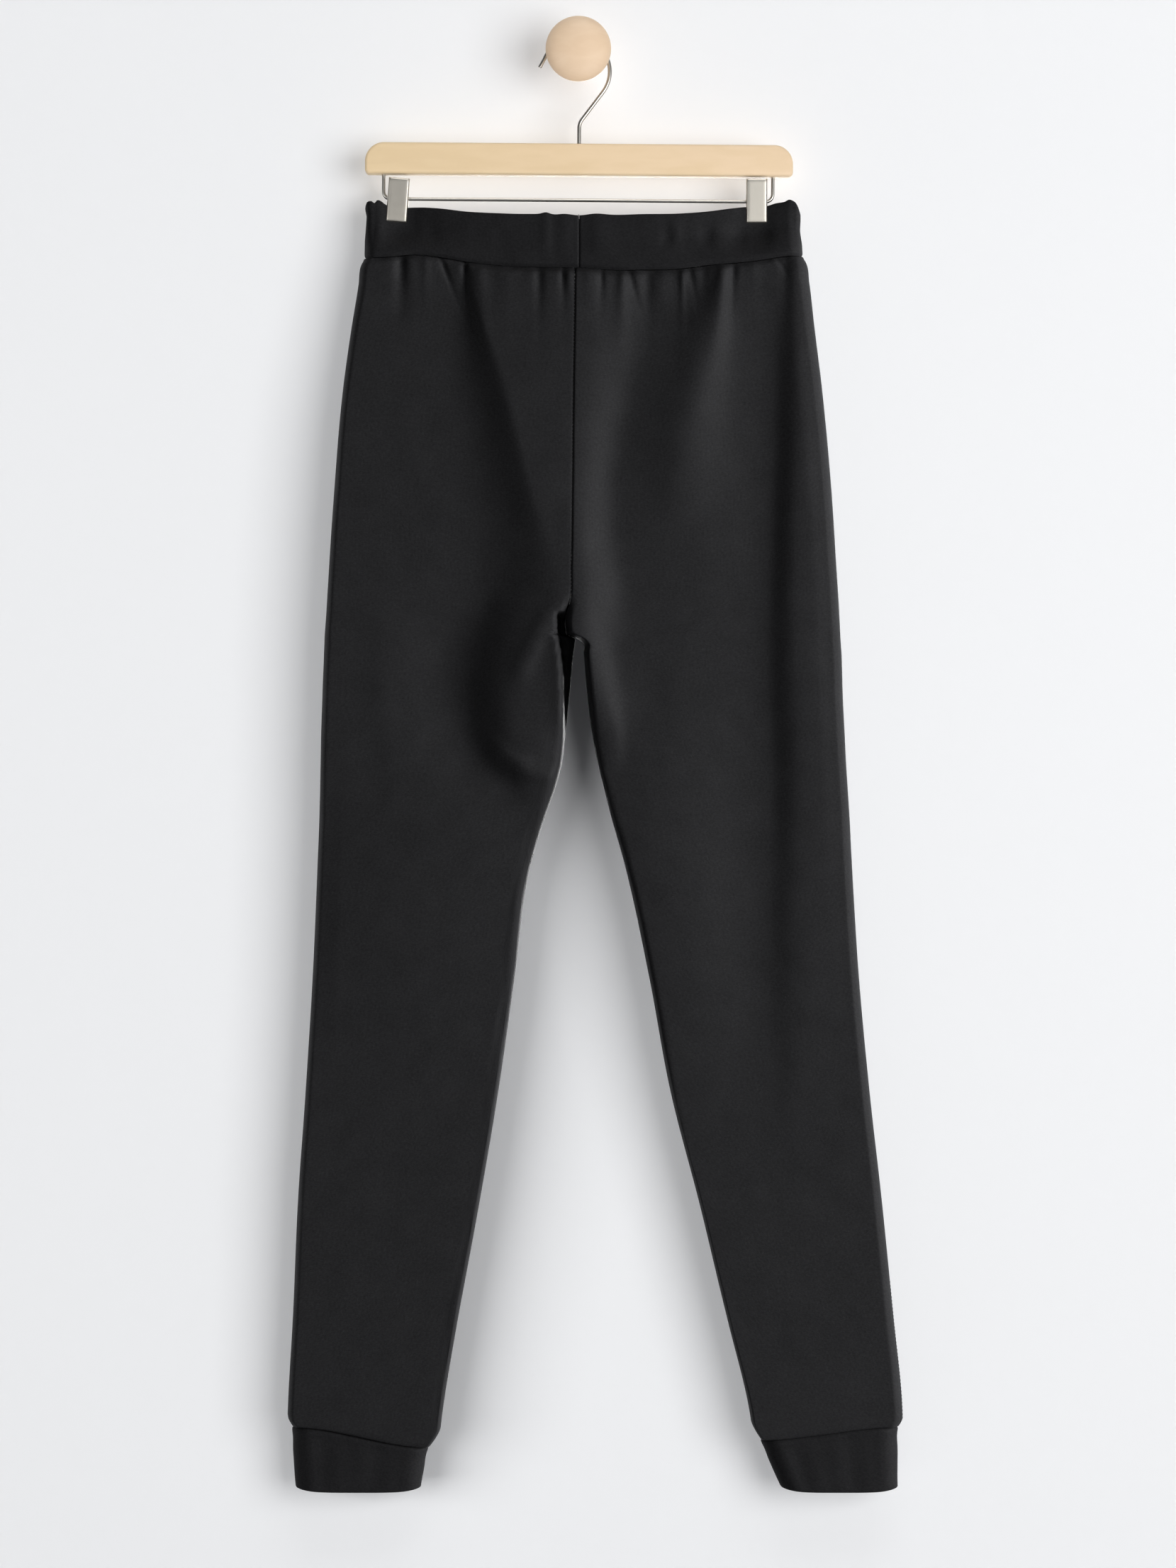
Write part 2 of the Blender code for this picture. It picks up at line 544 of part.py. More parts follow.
def make_cuff(side, finish):
    """A cuff: a doubled strip sewn into a tube, folded at the bottom."""
    even = (1 - np.cos(np.linspace(0.0, math.pi, CUFF_COLUMNS))) / 2
    ring = [("back", s) for s in even] + [("front", s) for s in even[::-1][1:-1]]
    downs = np.array(CUFF_ROWS)
    outer, inner = [], []
    for face, share in ring:
        shares = np.full(len(downs), share)

        def surface(across, down):
            return cuff_surface(side, face, across, down)

        points = surface(shares, downs)
        normal = inward_normals(surface, shares, downs)
        normal[:, 2] = 0.0
        normal /= np.linalg.norm(normal, axis=1, keepdims=True)
        towards = np.array([1.0 if share < 0.5 else -1.0, 1.0 if face == "back" else -1.0, 0.0])
        normal *= np.sign(normal @ towards)[:, None]
        inset = np.select([downs == 0, downs == 1], CUFF_EDGE_INSET, 0.0)[:, None]
        outer.append(points + inset * normal)
        inner.append(points + (CUFF - inset) * normal)
    outer, inner = (np.stack(grid, axis=1) for grid in (outer, inner))
    return wall(f"cuff_{side}", outer, inner, finish, closed_round=True)


def arc(centre, radius, start, end, steps=ARC_STEPS):
    """Points along an arc in the plane of the hanger, with angles in degrees from +x."""
    angles = [math.radians(start + (end - start) * i / steps) for i in range(steps + 1)]
    return [(centre[0] + radius * math.cos(a), centre[1] + radius * math.sin(a)) for a in angles]


def wire(name, points, diameter, finish):
    """A bent steel wire through points (x, z) in the hanger's plane, with closed ends."""
    curve = bpy.data.curves.new(name, "CURVE")
    curve.dimensions = "3D"
    curve.bevel_depth = diameter / 2
    curve.bevel_resolution = 2
    curve.use_fill_caps = True
    line = curve.splines.new("POLY")
    line.points.add(len(points) - 1)
    for point, (x, z) in zip(line.points, points):
        point.co = (x, 0.0, z, 1.0)
    guide = bpy.data.objects.new(name + "_guide", curve)
    bpy.data.collections["sweatpants"].objects.link(guide)
    bpy.context.view_layer.update()
    graph = bpy.context.evaluated_depsgraph_get()
    mesh = bpy.data.meshes.new_from_object(guide.evaluated_get(graph))
    bpy.data.objects.remove(guide)
    shape = bmesh.new()
    shape.from_mesh(mesh)
    bmesh.ops.remove_doubles(shape, verts=shape.verts, dist=0.00005)
    bmesh.ops.recalc_face_normals(shape, faces=shape.faces)
    shape.to_mesh(mesh)
    shape.free()
    return add_object(name, mesh, finish)


def outline_solid(name, outline, thickness, finish, collection="sweatpants"):
    """A flat outline in x and z, made a solid of that thickness about y = 0."""
    shape = bmesh.new()
    corners = [shape.verts.new((x, -thickness / 2, z)) for x, z in outline]
    face = shape.faces.new(corners)
    grown = bmesh.ops.extrude_face_region(shape, geom=[face])
    moved = [part for part in grown["geom"] if isinstance(part, bmesh.types.BMVert)]
    bmesh.ops.translate(shape, verts=moved, vec=(0.0, thickness, 0.0))
    bmesh.ops.recalc_face_normals(shape, faces=shape.faces)
    mesh = bpy.data.meshes.new(name)
    shape.to_mesh(mesh)
    shape.free()
    piece = add_object(name, mesh, finish, smooth=False)
    if collection != "sweatpants":
        bpy.data.collections["sweatpants"].objects.unlink(piece)
        bpy.data.collections[collection].objects.link(piece)
        piece.hide_render = True
        piece.display_type = "WIRE"
    return piece


def drill(piece, radius, length, location, along, parent):
    """Cuts a round hole of that length, centred at location, along x or z."""
    bpy.ops.mesh.primitive_cylinder_add(vertices=16, radius=radius, depth=length, location=location)
    cutter = bpy.context.active_object
    cutter.name = f"{piece.name}_drill"
    if along == "x":
        cutter.rotation_euler = (0.0, math.pi / 2, 0.0)
    for owner in list(cutter.users_collection):
        owner.objects.unlink(cutter)
    bpy.data.collections["cutters"].objects.link(cutter)
    cutter.parent = parent
    cutter.hide_render = True
    cutter.display_type = "WIRE"
    cut = piece.modifiers.new("hole", "BOOLEAN")
    cut.operation = "DIFFERENCE"
    cut.object = cutter


def make_bar(parent, finish):
    """The wooden bar: rounded top corners, softened edges, drilled for the hook and the rail."""
    left, right = BAR_CENTRE_X - BAR_WIDTH / 2, BAR_CENTRE_X + BAR_WIDTH / 2
    top, bottom = -BAR_TOP, -BAR_TOP - BAR_HEIGHT
    outline = (
        arc((right - BAR_TOP_ROUND, top - BAR_TOP_ROUND), BAR_TOP_ROUND, 0, 90)
        + arc((left + BAR_TOP_ROUND, top - BAR_TOP_ROUND), BAR_TOP_ROUND, 90, 180)
        + arc((left + BAR_BOTTOM_ROUND, bottom + BAR_BOTTOM_ROUND), BAR_BOTTOM_ROUND, 180, 270, 3)
        + arc((right - BAR_BOTTOM_ROUND, bottom + BAR_BOTTOM_ROUND), BAR_BOTTOM_ROUND, 270, 360, 3)
    )
    bar = outline_solid("hanger_bar", outline, BAR_THICKNESS, finish)
    edges = bar.modifiers.new("softened edges", "BEVEL")
    edges.width = BAR_EDGE
    edges.segments = 2
    edges.limit_method = "ANGLE"
    edges.angle_limit = math.radians(50)
    bar.parent = parent
    drill(bar, WIRE / 2 + HOLE_CLEARANCE, 2 * HOOK_DEEP, (STEM_X, 0.0, top), "z", parent)
    for x in RAIL_X:
        drill(bar, RAIL_WIRE / 2 + HOLE_CLEARANCE, 2 * RAIL_DEEP, (x, 0.0, bottom), "z", parent)
    return bar


def make_hook(parent, finish):
    """The hook: out of the bar, round to the right, over the knob's neck and down to its tip."""
    reach = HOOK_RADIUS - WIRE / 2 - NECK_RADIUS - SEAM_GAP
    centre = (HOOK_CENTRE_X, -math.sqrt(reach**2 - HOOK_CENTRE_X**2))
    stem = [(STEM_X, -BAR_TOP - HOOK_DEEP + 2 * SEAM_GAP), (STEM_X, -STEM_TOP)]
    lower = arc((STEM_X + SWING_RADIUS, -STEM_TOP), SWING_RADIUS, 180, 180 - SWING_TURN, 5)[1:]
    upper = arc(centre, HOOK_RADIUS, -SWING_TURN, HOOK_END, 26)
    tip = (upper[-1][0] - HOOK_TIP[0], upper[-1][1] - HOOK_TIP[1])
    hook = wire("hook", stem + lower + upper + [tip], WIRE, finish)
    hook.parent = parent
    return hook


def make_rail(parent, finish):
    """The rail: a wire bent up at both ends into the underside of the bar."""
    left, right = RAIL_X
    top = -BAR_TOP - BAR_HEIGHT + RAIL_DEEP - 2 * SEAM_GAP
    low = -RAIL_DROP
    points = (
        [(left, top), (left, low + RAIL_STRAIGHT_FROM)]
        + arc((left + RAIL_BEND, low + RAIL_BEND), RAIL_BEND, 180, 270)
        + arc((right - RAIL_BEND, low + RAIL_BEND), RAIL_BEND, 270, 360)
        + [(right, low + RAIL_STRAIGHT_FROM), (right, top)]
    )
    rail = wire("clip_rail", points, RAIL_WIRE, finish)
    rail.parent = parent
    return rail


def make_jaw(name, width, toward_viewer, seat, finish):
    """One jaw of a clip: a plate folded back at both sides into ears that hold the rail."""
    low, high = -CLIP_HALF_HEIGHT, CLIP_HALF_HEIGHT
    profile = [
        (CLIP_GRIP, low),
        (CLIP_GRIP + CLIP_LIP, low),
        (CLIP_SPLAY, high),
        (CLIP_SPLAY - CLIP_FLANGE, high),
        (CLIP_SPLAY - CLIP_FLANGE, CLIP_EAR_HIGH),
        (-CLIP_EAR, CLIP_EAR_LOW),
        (-CLIP_EAR, -CLIP_EAR_LOW),
        (CLIP_GRIP, -CLIP_EAR_LOW),
    ]
    inside, past = CLIP_GRIP + CLIP_LIP - CLIP_SHEET, 2 * CLIP_SPLAY
    hollow = [
        (-past, low - past),
        (inside, low - past),
        (inside, low),
        (CLIP_SPLAY - CLIP_SHEET, high),
        (CLIP_SPLAY - CLIP_SHEET, high + past),
        (-past, high + past),
    ]
    jaw = outline_solid(name, profile, width, finish)
    inside = outline_solid(name + "_hollow", hollow, width - 2 * CLIP_SHEET, finish, "cutters")
    cut = jaw.modifiers.new("folded sheet", "BOOLEAN")
    cut.operation = "DIFFERENCE"
    cut.object = inside
    x, drop, turn = seat
    rail_drop = RAIL_DROP + x * math.tan(HANGER_TILT)
    place = Matrix.Translation((x, HANG_Y, -drop)) @ Matrix.Rotation(turn, 4, "Y")
    place = place @ Matrix.Rotation(-math.pi / 2 if toward_viewer else math.pi / 2, 4, "Z")
    for piece in (jaw, inside):
        piece.matrix_world = place
    bpy.ops.mesh.primitive_cylinder_add(vertices=16, radius=RAIL_WIRE / 2 + HOLE_CLEARANCE, depth=2 * width)
    hole = bpy.context.active_object
    hole.name = name + "_drill"
    hole.matrix_world = Matrix.Translation((x, HANG_Y, -rail_drop)) @ Matrix.Rotation(math.pi / 2, 4, "Y")
    for owner in list(hole.users_collection):
        owner.objects.unlink(hole)
    bpy.data.collections["cutters"].objects.link(hole)
    hole.hide_render = True
    hole.display_type = "WIRE"
    bore = jaw.modifiers.new("rail hole", "BOOLEAN")
    bore.operation = "DIFFERENCE"
    bore.object = hole
    return jaw


def make_knob(finish):
    """The wall knob: a neck and a domed head, turned about the Y axis."""
    mesh = bpy.data.meshes.new("knob")
    points = [(radius, -off, 0.0) for off, radius in KNOB_PROFILE]
    mesh.from_pydata(points, [(i, i + 1) for i in range(len(points) - 1)], [])
    knob = add_object("knob", mesh, finish, smooth=False)
    turn = knob.modifiers.new("turned", "SCREW")
    turn.axis = "Y"
    turn.steps = KNOB_STEPS
    turn.render_steps = KNOB_STEPS
    turn.use_merge_vertices = True
    turn.merge_threshold = 0.00001
    turn.use_smooth_shade = True
    return knob


def main():
    for piece in list(bpy.data.objects):
        bpy.data.objects.remove(piece, do_unlink=True)
    for name in ("sweatpants", "cutters"):
        made = bpy.data.collections.new(name)
        bpy.context.scene.collection.children.link(made)
    cloth = material("black knit", (0.020, 0.020, 0.021), 0.85)
    band_cloth = material("black waistband knit", (0.016, 0.016, 0.017), 0.88)
    wood = material("pale maple", (0.76, 0.60, 0.40), 0.5)
    turned_wood = material("turned beech", (0.78, 0.61, 0.45), 0.5)
    steel = material("satin nickel", (0.62, 0.59, 0.54), 0.35, 1.0)

    for side in ("left", "right"):
        for face in ("back", "front"):
            make_panel(side, face, cloth)
        make_cuff(side, band_cloth)
    make_waistband(band_cloth)

    hanger = bpy.data.objects.new("hanger", None)
    bpy.data.collections["sweatpants"].objects.link(hanger)
    hanger.location = (0.0, HANG_Y, 0.0)
    hanger.rotation_euler = (0.0, HANGER_TILT, 0.0)
    bpy.context.view_layer.update()
    make_bar(hanger, wood)
    make_hook(hanger, steel)
    make_rail(hanger, steel)
    for side, seat in CLIPS.items():
        make_jaw(f"clip_{side}_front", CLIP_WIDTH, True, seat, steel)
        make_jaw(f"clip_{side}_back", CLIP_WIDTH - 2 * CLIP_SHEET - 2 * SEAM_GAP, False, seat, steel)
    make_knob(turned_wood)


main()
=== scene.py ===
"""The looks of black knit sweatpants that hang from a wooden trouser hanger on a wall knob.

The back of the garment faces the viewer, towards -Y. The wall is the plane y = 0, and the origin is
the middle of the knob's flat back. Lengths are metres. A drop is a distance below the knob's axis.
"""

import logging
import math
from dataclasses import dataclass, field
from enum import Enum
from typing import Any, Callable, Iterable, Sequence

import bmesh
import bpy
import numpy as np
from mathutils import Matrix, Vector


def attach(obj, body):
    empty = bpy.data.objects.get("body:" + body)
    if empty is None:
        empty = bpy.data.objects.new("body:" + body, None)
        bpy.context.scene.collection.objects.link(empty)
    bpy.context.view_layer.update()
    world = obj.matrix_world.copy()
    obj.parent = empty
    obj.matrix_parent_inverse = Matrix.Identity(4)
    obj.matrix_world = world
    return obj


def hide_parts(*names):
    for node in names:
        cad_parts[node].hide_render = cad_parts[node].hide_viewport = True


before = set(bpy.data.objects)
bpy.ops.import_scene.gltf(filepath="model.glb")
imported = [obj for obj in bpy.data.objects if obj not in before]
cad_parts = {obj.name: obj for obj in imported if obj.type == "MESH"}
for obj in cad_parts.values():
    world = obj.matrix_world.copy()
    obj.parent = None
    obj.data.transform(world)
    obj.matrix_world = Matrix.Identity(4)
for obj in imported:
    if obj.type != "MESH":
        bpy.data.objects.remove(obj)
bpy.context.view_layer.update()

log = logging.getLogger("sweatpants")

Array = np.ndarray
Mesh, Material, Collection, Thing = bpy.types.Mesh, bpy.types.Material, bpy.types.Collection, bpy.types.Object
Point = tuple[float, float]
Triple = tuple[float, float, float]
Colour = Triple

MIDDLE_Y = -0.032  # The middle plane of the garment and the hanger.
SEAM_GAP = 0.0003  # Between pieces that are sewn together or touch.
KNOB_NECK = 0.0095  # Radius of the knob's neck, on which the hook hangs.
BEND_WEIGHT = 0.008  # How much closer columns lie where a row of cloth bends.
FOLD_END = 0.96  # The part of a folded edge's round that is made; the rest is flat.
UV_NAME = "cloth"


class Side(Enum):
    """A leg, or an end of the hanger, as the viewer sees it."""

    LEFT = "left"
    RIGHT = "right"


class Face(Enum):
    """Half of the garment: the back faces the viewer and the front faces the wall."""

    BACK = "back"
    FRONT = "front"

    @property
    def away(self) -> float:
        """The sign of y in which this face stands off the middle plane."""
        return -1.0 if self is Face.BACK else 1.0


# Curves and rounding


def ease(t: Array | float) -> Array:
    """Runs smoothly from 0 to 1 as t does, and stays level outside."""
    t = np.clip(t, 0.0, 1.0)
    return t * t * (3 - 2 * t)


def rounded(distance: Array, radius: Array | float) -> Array:
    """An edge rounded like a quarter of an ellipse: 0 at the edge, 1 from radius inwards."""
    q = np.clip(distance / radius, 0.0, 1.0)
    return np.sqrt(np.clip(1 - (1 - q) ** 2, 0.0, 1.0))


def bell(distance: Array, width: Array | float) -> Array:
    """A soft bump: 1 at distance 0, about a third at width."""
    return np.exp(-((distance / width) ** 2))


def crowded(count: int) -> Array:
    """Shares from 0 to 1, closest together at both ends."""
    return (1 - np.cos(np.linspace(0, math.pi, count))) / 2


def broken_line(points: Sequence[Point], at: Array | float) -> Array:
    """Reads a broken line through points, given as place and value."""
    places, values = zip(*points)
    return np.interp(at, places, values)


def between(start: Point, end: Point, shares: Iterable[float]) -> list[Point]:
    """Points on the way from one point to another, at shares of it."""
    return [(start[0] + (end[0] - start[0]) * t, start[1] + (end[1] - start[1]) * t) for t in shares]


@dataclass(frozen=True)
class Swell:
    """Smooth random unevenness of cloth: its height, the size of a swell and its grid's seed."""

    height: float
    cell: float
    seed: int

    def over(self, u: Array, v: Array) -> Array:
        """Its heights, from -height to height, at places u across a cloth and v down it, in metres."""
        across, down = u / self.cell, v / self.cell
        col, row = np.floor(across).astype(int), np.floor(down).astype(int)
        s, t = ease(across - col), ease(down - row)
        left, top = col - col.min(), row - row.min()
        grid = np.random.default_rng(self.seed).uniform(-1, 1, (top.max() + 2, left.max() + 2))
        upper = grid[top, left] * (1 - s) + grid[top, left + 1] * s
        lower = grid[top + 1, left] * (1 - s) + grid[top + 1, left + 1] * s
        return self.height * (upper * (1 - t) + lower * t)


class Table:
    """Rows of sizes that are read as smooth curves through their named columns."""

    def __init__(self, kind: type, key: str, rows: Sequence[Sequence[float]]) -> None:
        """Makes rows of a kind of dataclass from values in the order of the column named key."""
        self.rows = [kind(*row) for row in rows]
        self.places = np.array([getattr(row, key) for row in self.rows])

    def read(self, name: str, at: Array | float) -> Array:
        """The value of a named column at a place in the key's units, level past both ends."""
        values = np.array([getattr(row, name) for row in self.rows])
        slopes = np.gradient(values, self.places)
        i = np.clip(np.searchsorted(self.places, at) - 1, 0, len(values) - 2)
        span = self.places[i + 1] - self.places[i]
        t = np.clip((at - self.places[i]) / span, 0.0, 1.0)
        rise = values[i + 1] - values[i]
        bend = (1 - t) * (slopes[i] * span - rise) - t * (slopes[i + 1] * span - rise)
        return values[i] + rise * t + t * (1 - t) * bend


@dataclass(frozen=True)
class Section:
    """The garment's form at one drop: its edges, how far it stands off, and how its edges round."""

    drop: float
    left_out: float
    left_in: float
    right_in: float
    right_out: float
    back: float
    front: float
    left_round: float
    right_round: float
    round_in: float


@dataclass(frozen=True)
class BandEdge:
    """The waistband at one x: drops of its top edge and its seam, and its top's stand-off."""

    x: float
    top: float
    seam: float
    stand_off: float


@dataclass(frozen=True)
class Gather:
    """A small pleat that starts in the waist seam and dies away below it.

    For each metre down it leans to the right and spreads to each side by these lengths. Its sides fall
    off with the power shape, and it dies away with the power fade.
    """

    x: float
    half_width: float
    reach: float
    height: float
    lean: float = 0.0
    spread: float = 0.0
    shape: float = 2.0
    fade: float = 1.5

    def lift(self, x: Array, below: Array) -> Array:
        """Its height off the cloth at places across, and at distances below the waist seam."""
        below = np.maximum(below, 0.0)
        width = self.half_width + self.spread * below
        across = np.exp(-((np.abs(x - self.x - self.lean * below) / width) ** self.shape))
        return self.height * across * np.exp(-((below / self.reach) ** self.fade))


@dataclass(frozen=True)
class Fold:
    """A long soft fold whose crest runs down the cloth through points given as x and drop.

    The widths of its flanks, its heights and the powers of its flanks are read evenly along the crest.
    A power of 2 makes a flank like a bell, near 1 like the side of a sharp ridge. The crest is rounded
    over soft, spans of it blend within blend, its curve has spans between two points, and it ends at
    reach widths from the crest.
    """

    name: str
    crest: tuple[Point, ...]
    left: tuple[float, ...]
    right: tuple[float, ...]
    height: tuple[float, ...]
    left_shape: tuple[float, ...] = (2.0,)
    right_shape: tuple[float, ...] = (2.0,)
    soft: float = 0.0015
    blend: float = 0.0010
    spans: int = 12
    reach: float = 2.6

    def line(self) -> Array:
        """Points along the crest, on a smooth curve through the given ones."""
        given = np.array(self.crest)
        ends = np.concatenate([2 * given[:1] - given[1:2], given, 2 * given[-1:] - given[-2:-1]])
        t = np.linspace(0.0, 1.0, self.spans, endpoint=False)[:, None]
        pieces = []
        for a, b, c, d in zip(ends[:-3], ends[1:-2], ends[2:-1], ends[3:]):
            square, cube = 2 * a - 5 * b + 4 * c - d, 3 * b - a - 3 * c + d
            pieces.append((2 * b + (c - a) * t + square * t**2 + cube * t**3) / 2)
        return np.concatenate([*pieces, given[-1:]])

    def nearest(self, px: Array, pd: Array) -> tuple[Array, Array, Array]:
        """Distances of places off the crest, shares of the way along it, and sides: -1 is left, 1 right."""
        line = self.line()
        nearest, weight, share, side = np.full(px.shape, math.inf), *np.zeros((3, *px.shape))
        for i, (a, b) in enumerate(zip(line[:-1], line[1:])):
            run = b - a
            s = np.clip(((px - a[0]) * run[0] + (pd - a[1]) * run[1]) / (run @ run), 0.0, 1.0)
            dx, dd = px - a[0] - s * run[0], pd - a[1] - s * run[1]
            away = np.hypot(dx, dd)
            beside = (run[1] * dx - run[0] * dd) / (np.hypot(*run) * np.maximum(away, 1e-9))
            closest = np.minimum(nearest, away)
            kept, own = np.exp((closest - nearest) / self.blend), np.exp((closest - away) / self.blend)
            share = share * kept + own * (i + s) / (len(line) - 1)
            side, weight, nearest = side * kept + own * beside, weight * kept + own, closest
        return nearest, share / weight, side / weight

    def lift(self, x: Array, drop: Array) -> Array:
        """Its height off the cloth, negative in a trough, at places across and at their drops."""
        line, reach = self.line(), self.reach * max(*self.left, *self.right)
        low, high = line.min(axis=0) - reach, line.max(axis=0) + reach
        near = (x > low[0]) & (x < high[0]) & (drop > low[1]) & (drop < high[1])
        away, share, side = self.nearest(x[near], drop[near])
        away = np.sqrt(away**2 + self.soft**2) - self.soft
        left, right, height, left_power, right_power = (
            np.interp(share, np.linspace(0, 1, len(sizes)), sizes)
            for sizes in (self.left, self.right, self.height, self.left_shape, self.right_shape)
        )
        on_left = np.exp(-((away / left) ** left_power))
        on_right = np.exp(-((away / right) ** right_power))
        lifted = np.zeros(x.shape)
        lifted[near] = height * ((1 - side) * on_left + (1 + side) * on_right) / 2
        return lifted


def ripple(name: str, crest: tuple[Point, ...], widths: Point, height: float) -> Fold:
    """A short fold, highest in its middle, with the widths of its left and right flank."""
    return Fold(name, crest, widths[:1], widths[1:], (0.0, height, 0.0))


# The garment's sizes, from the waist seam down to the cuff seams

SECTIONS = Table(Section, "drop", (
    (0.16, -0.1692, -0.0028, -0.0028, 0.1772, 0.0124, 0.0106, 0.008, 0.01, 0.008),
    (0.1632, -0.1696, -0.0028, -0.0028, 0.1778, 0.0132, 0.011, 0.0079, 0.01, 0.008),
    (0.1672, -0.1716, -0.0028, -0.0028, 0.18, 0.0142, 0.0118, 0.0079, 0.0099, 0.008),
    (0.183, -0.1738, -0.0029, -0.0029, 0.1826, 0.0152, 0.013, 0.0076, 0.0097, 0.008),
    (0.217, -0.1792, -0.0033, -0.0033, 0.1865, 0.018, 0.016, 0.0071, 0.0092, 0.008),
    (0.262, -0.1854, -0.0039, -0.0039, 0.1921, 0.0215, 0.019, 0.0067, 0.0089, 0.008),
    (0.351, -0.1932, -0.0047, -0.0047, 0.2003, 0.0255, 0.0225, 0.0063, 0.0085, 0.008),
    (0.407, -0.1969, -0.0056, -0.0056, 0.2039, 0.0252, 0.0231, 0.0063, 0.0085, 0.008),
    (0.435, -0.1986, -0.0068, -0.0068, 0.2057, 0.0255, 0.0235, 0.0062, 0.0084, 0.0069),
    (0.4445, -0.1992, -0.0096, -0.0096, 0.2062, 0.0257, 0.0235, 0.0062, 0.0084, 0.0063),
    (0.456, -0.2, -0.01, -0.01, 0.2067, 0.0258, 0.0232, 0.0062, 0.0084, 0.0055),
    (0.4605, -0.2003, -0.0084, -0.0084, 0.2069, 0.0256, 0.023, 0.0062, 0.0084, 0.0052),
    (0.463, -0.2004, -0.0034, -0.0024, 0.207, 0.0255, 0.023, 0.0062, 0.0084, 0.0051),
    (0.4675, -0.2005, -0.0028, 0.0034, 0.2073, 0.0253, 0.0228, 0.0062, 0.0084, 0.0049),
    (0.475, -0.2008, -0.0038, 0.004, 0.2078, 0.0254, 0.0225, 0.0062, 0.0084, 0.0047),
    (0.508, -0.2022, -0.0069, 0.0067, 0.2089, 0.0245, 0.0215, 0.0061, 0.0083, 0.0037),
    (0.542, -0.2033, -0.0104, 0.0112, 0.2106, 0.0237, 0.0205, 0.0061, 0.0083, 0.0032),
    (0.564, -0.2037, -0.0132, 0.0157, 0.2117, 0.0234, 0.02, 0.006, 0.0082, 0.003),
    (0.581, -0.204, -0.0179, 0.0199, 0.2128, 0.023, 0.02, 0.006, 0.0082, 0.0029),
    (0.598, -0.2044, -0.0241, 0.0241, 0.2139, 0.0226, 0.0195, 0.006, 0.0082, 0.0029),
    (0.642, -0.2061, -0.0375, 0.0364, 0.2162, 0.022, 0.019, 0.006, 0.0082, 0.0028),
    (0.732, -0.21, -0.0504, 0.056, 0.2218, 0.0206, 0.018, 0.0059, 0.0081, 0.0028),
    (0.822, -0.2156, -0.0633, 0.0728, 0.2302, 0.0195, 0.017, 0.0059, 0.0081, 0.0028),
    (0.911, -0.2218, -0.0784, 0.0958, 0.2402, 0.018, 0.016, 0.0058, 0.0081, 0.0028),
    (1.001, -0.2257, -0.0952, 0.1176, 0.2492, 0.016, 0.0145, 0.0058, 0.008, 0.0028),
    (1.07, -0.2296, -0.1085, 0.136, 0.256, 0.0145, 0.013, 0.0058, 0.008, 0.0028),
    (1.11, -0.2306, -0.112, 0.14, 0.2568, 0.014, 0.0125, 0.0058, 0.008, 0.0028),
))

BAND_EDGES = Table(BandEdge, "x", (
    (-0.1692, 0.124, 0.1641, 0.0058), (-0.1681, 0.1202, 0.1641, 0.006), (-0.1654, 0.1186, 0.164, 0.0062),
    (-0.1626, 0.1187, 0.164, 0.0061), (-0.1609, 0.1201, 0.164, 0.0058), (-0.1592, 0.1179, 0.1639, 0.0057),
    (-0.156, 0.1182, 0.1638, 0.0053), (-0.152, 0.121, 0.1636, 0.0044), (-0.146, 0.1228, 0.1632, 0.0034),
    (-0.129, 0.1232, 0.1618, 0.0034), (-0.122, 0.1234, 0.1622, 0.005), (-0.11, 0.1244, 0.1636, 0.007),
    (-0.089, 0.1271, 0.1672, 0.009), (-0.064, 0.1287, 0.1701, 0.0108), (-0.04, 0.1294, 0.1713, 0.0116),
    (-0.0308, 0.1292, 0.1715, 0.0118), (-0.0254, 0.1282, 0.1717, 0.0122), (-0.0202, 0.1296, 0.1718, 0.0116),
    (-0.011, 0.1294, 0.1718, 0.0119), (0.0006, 0.1304, 0.1717, 0.0112), (0.014, 0.1292, 0.173, 0.0121),
    (0.027, 0.1301, 0.1739, 0.0119), (0.05, 0.1296, 0.1736, 0.0119), (0.0784, 0.129, 0.173, 0.0106),
    (0.1036, 0.1268, 0.1699, 0.008), (0.121, 0.1242, 0.1684, 0.0054), (0.13, 0.123, 0.1676, 0.0035),
    (0.148, 0.1222, 0.1654, 0.0034), (0.156, 0.12, 0.164, 0.005), (0.1632, 0.1188, 0.163, 0.0062),
    (0.1659, 0.1174, 0.1627, 0.0066), (0.1695, 0.1183, 0.1626, 0.0065), (0.173, 0.1214, 0.1625, 0.0063),
    (0.1758, 0.1282, 0.1624, 0.006),
))

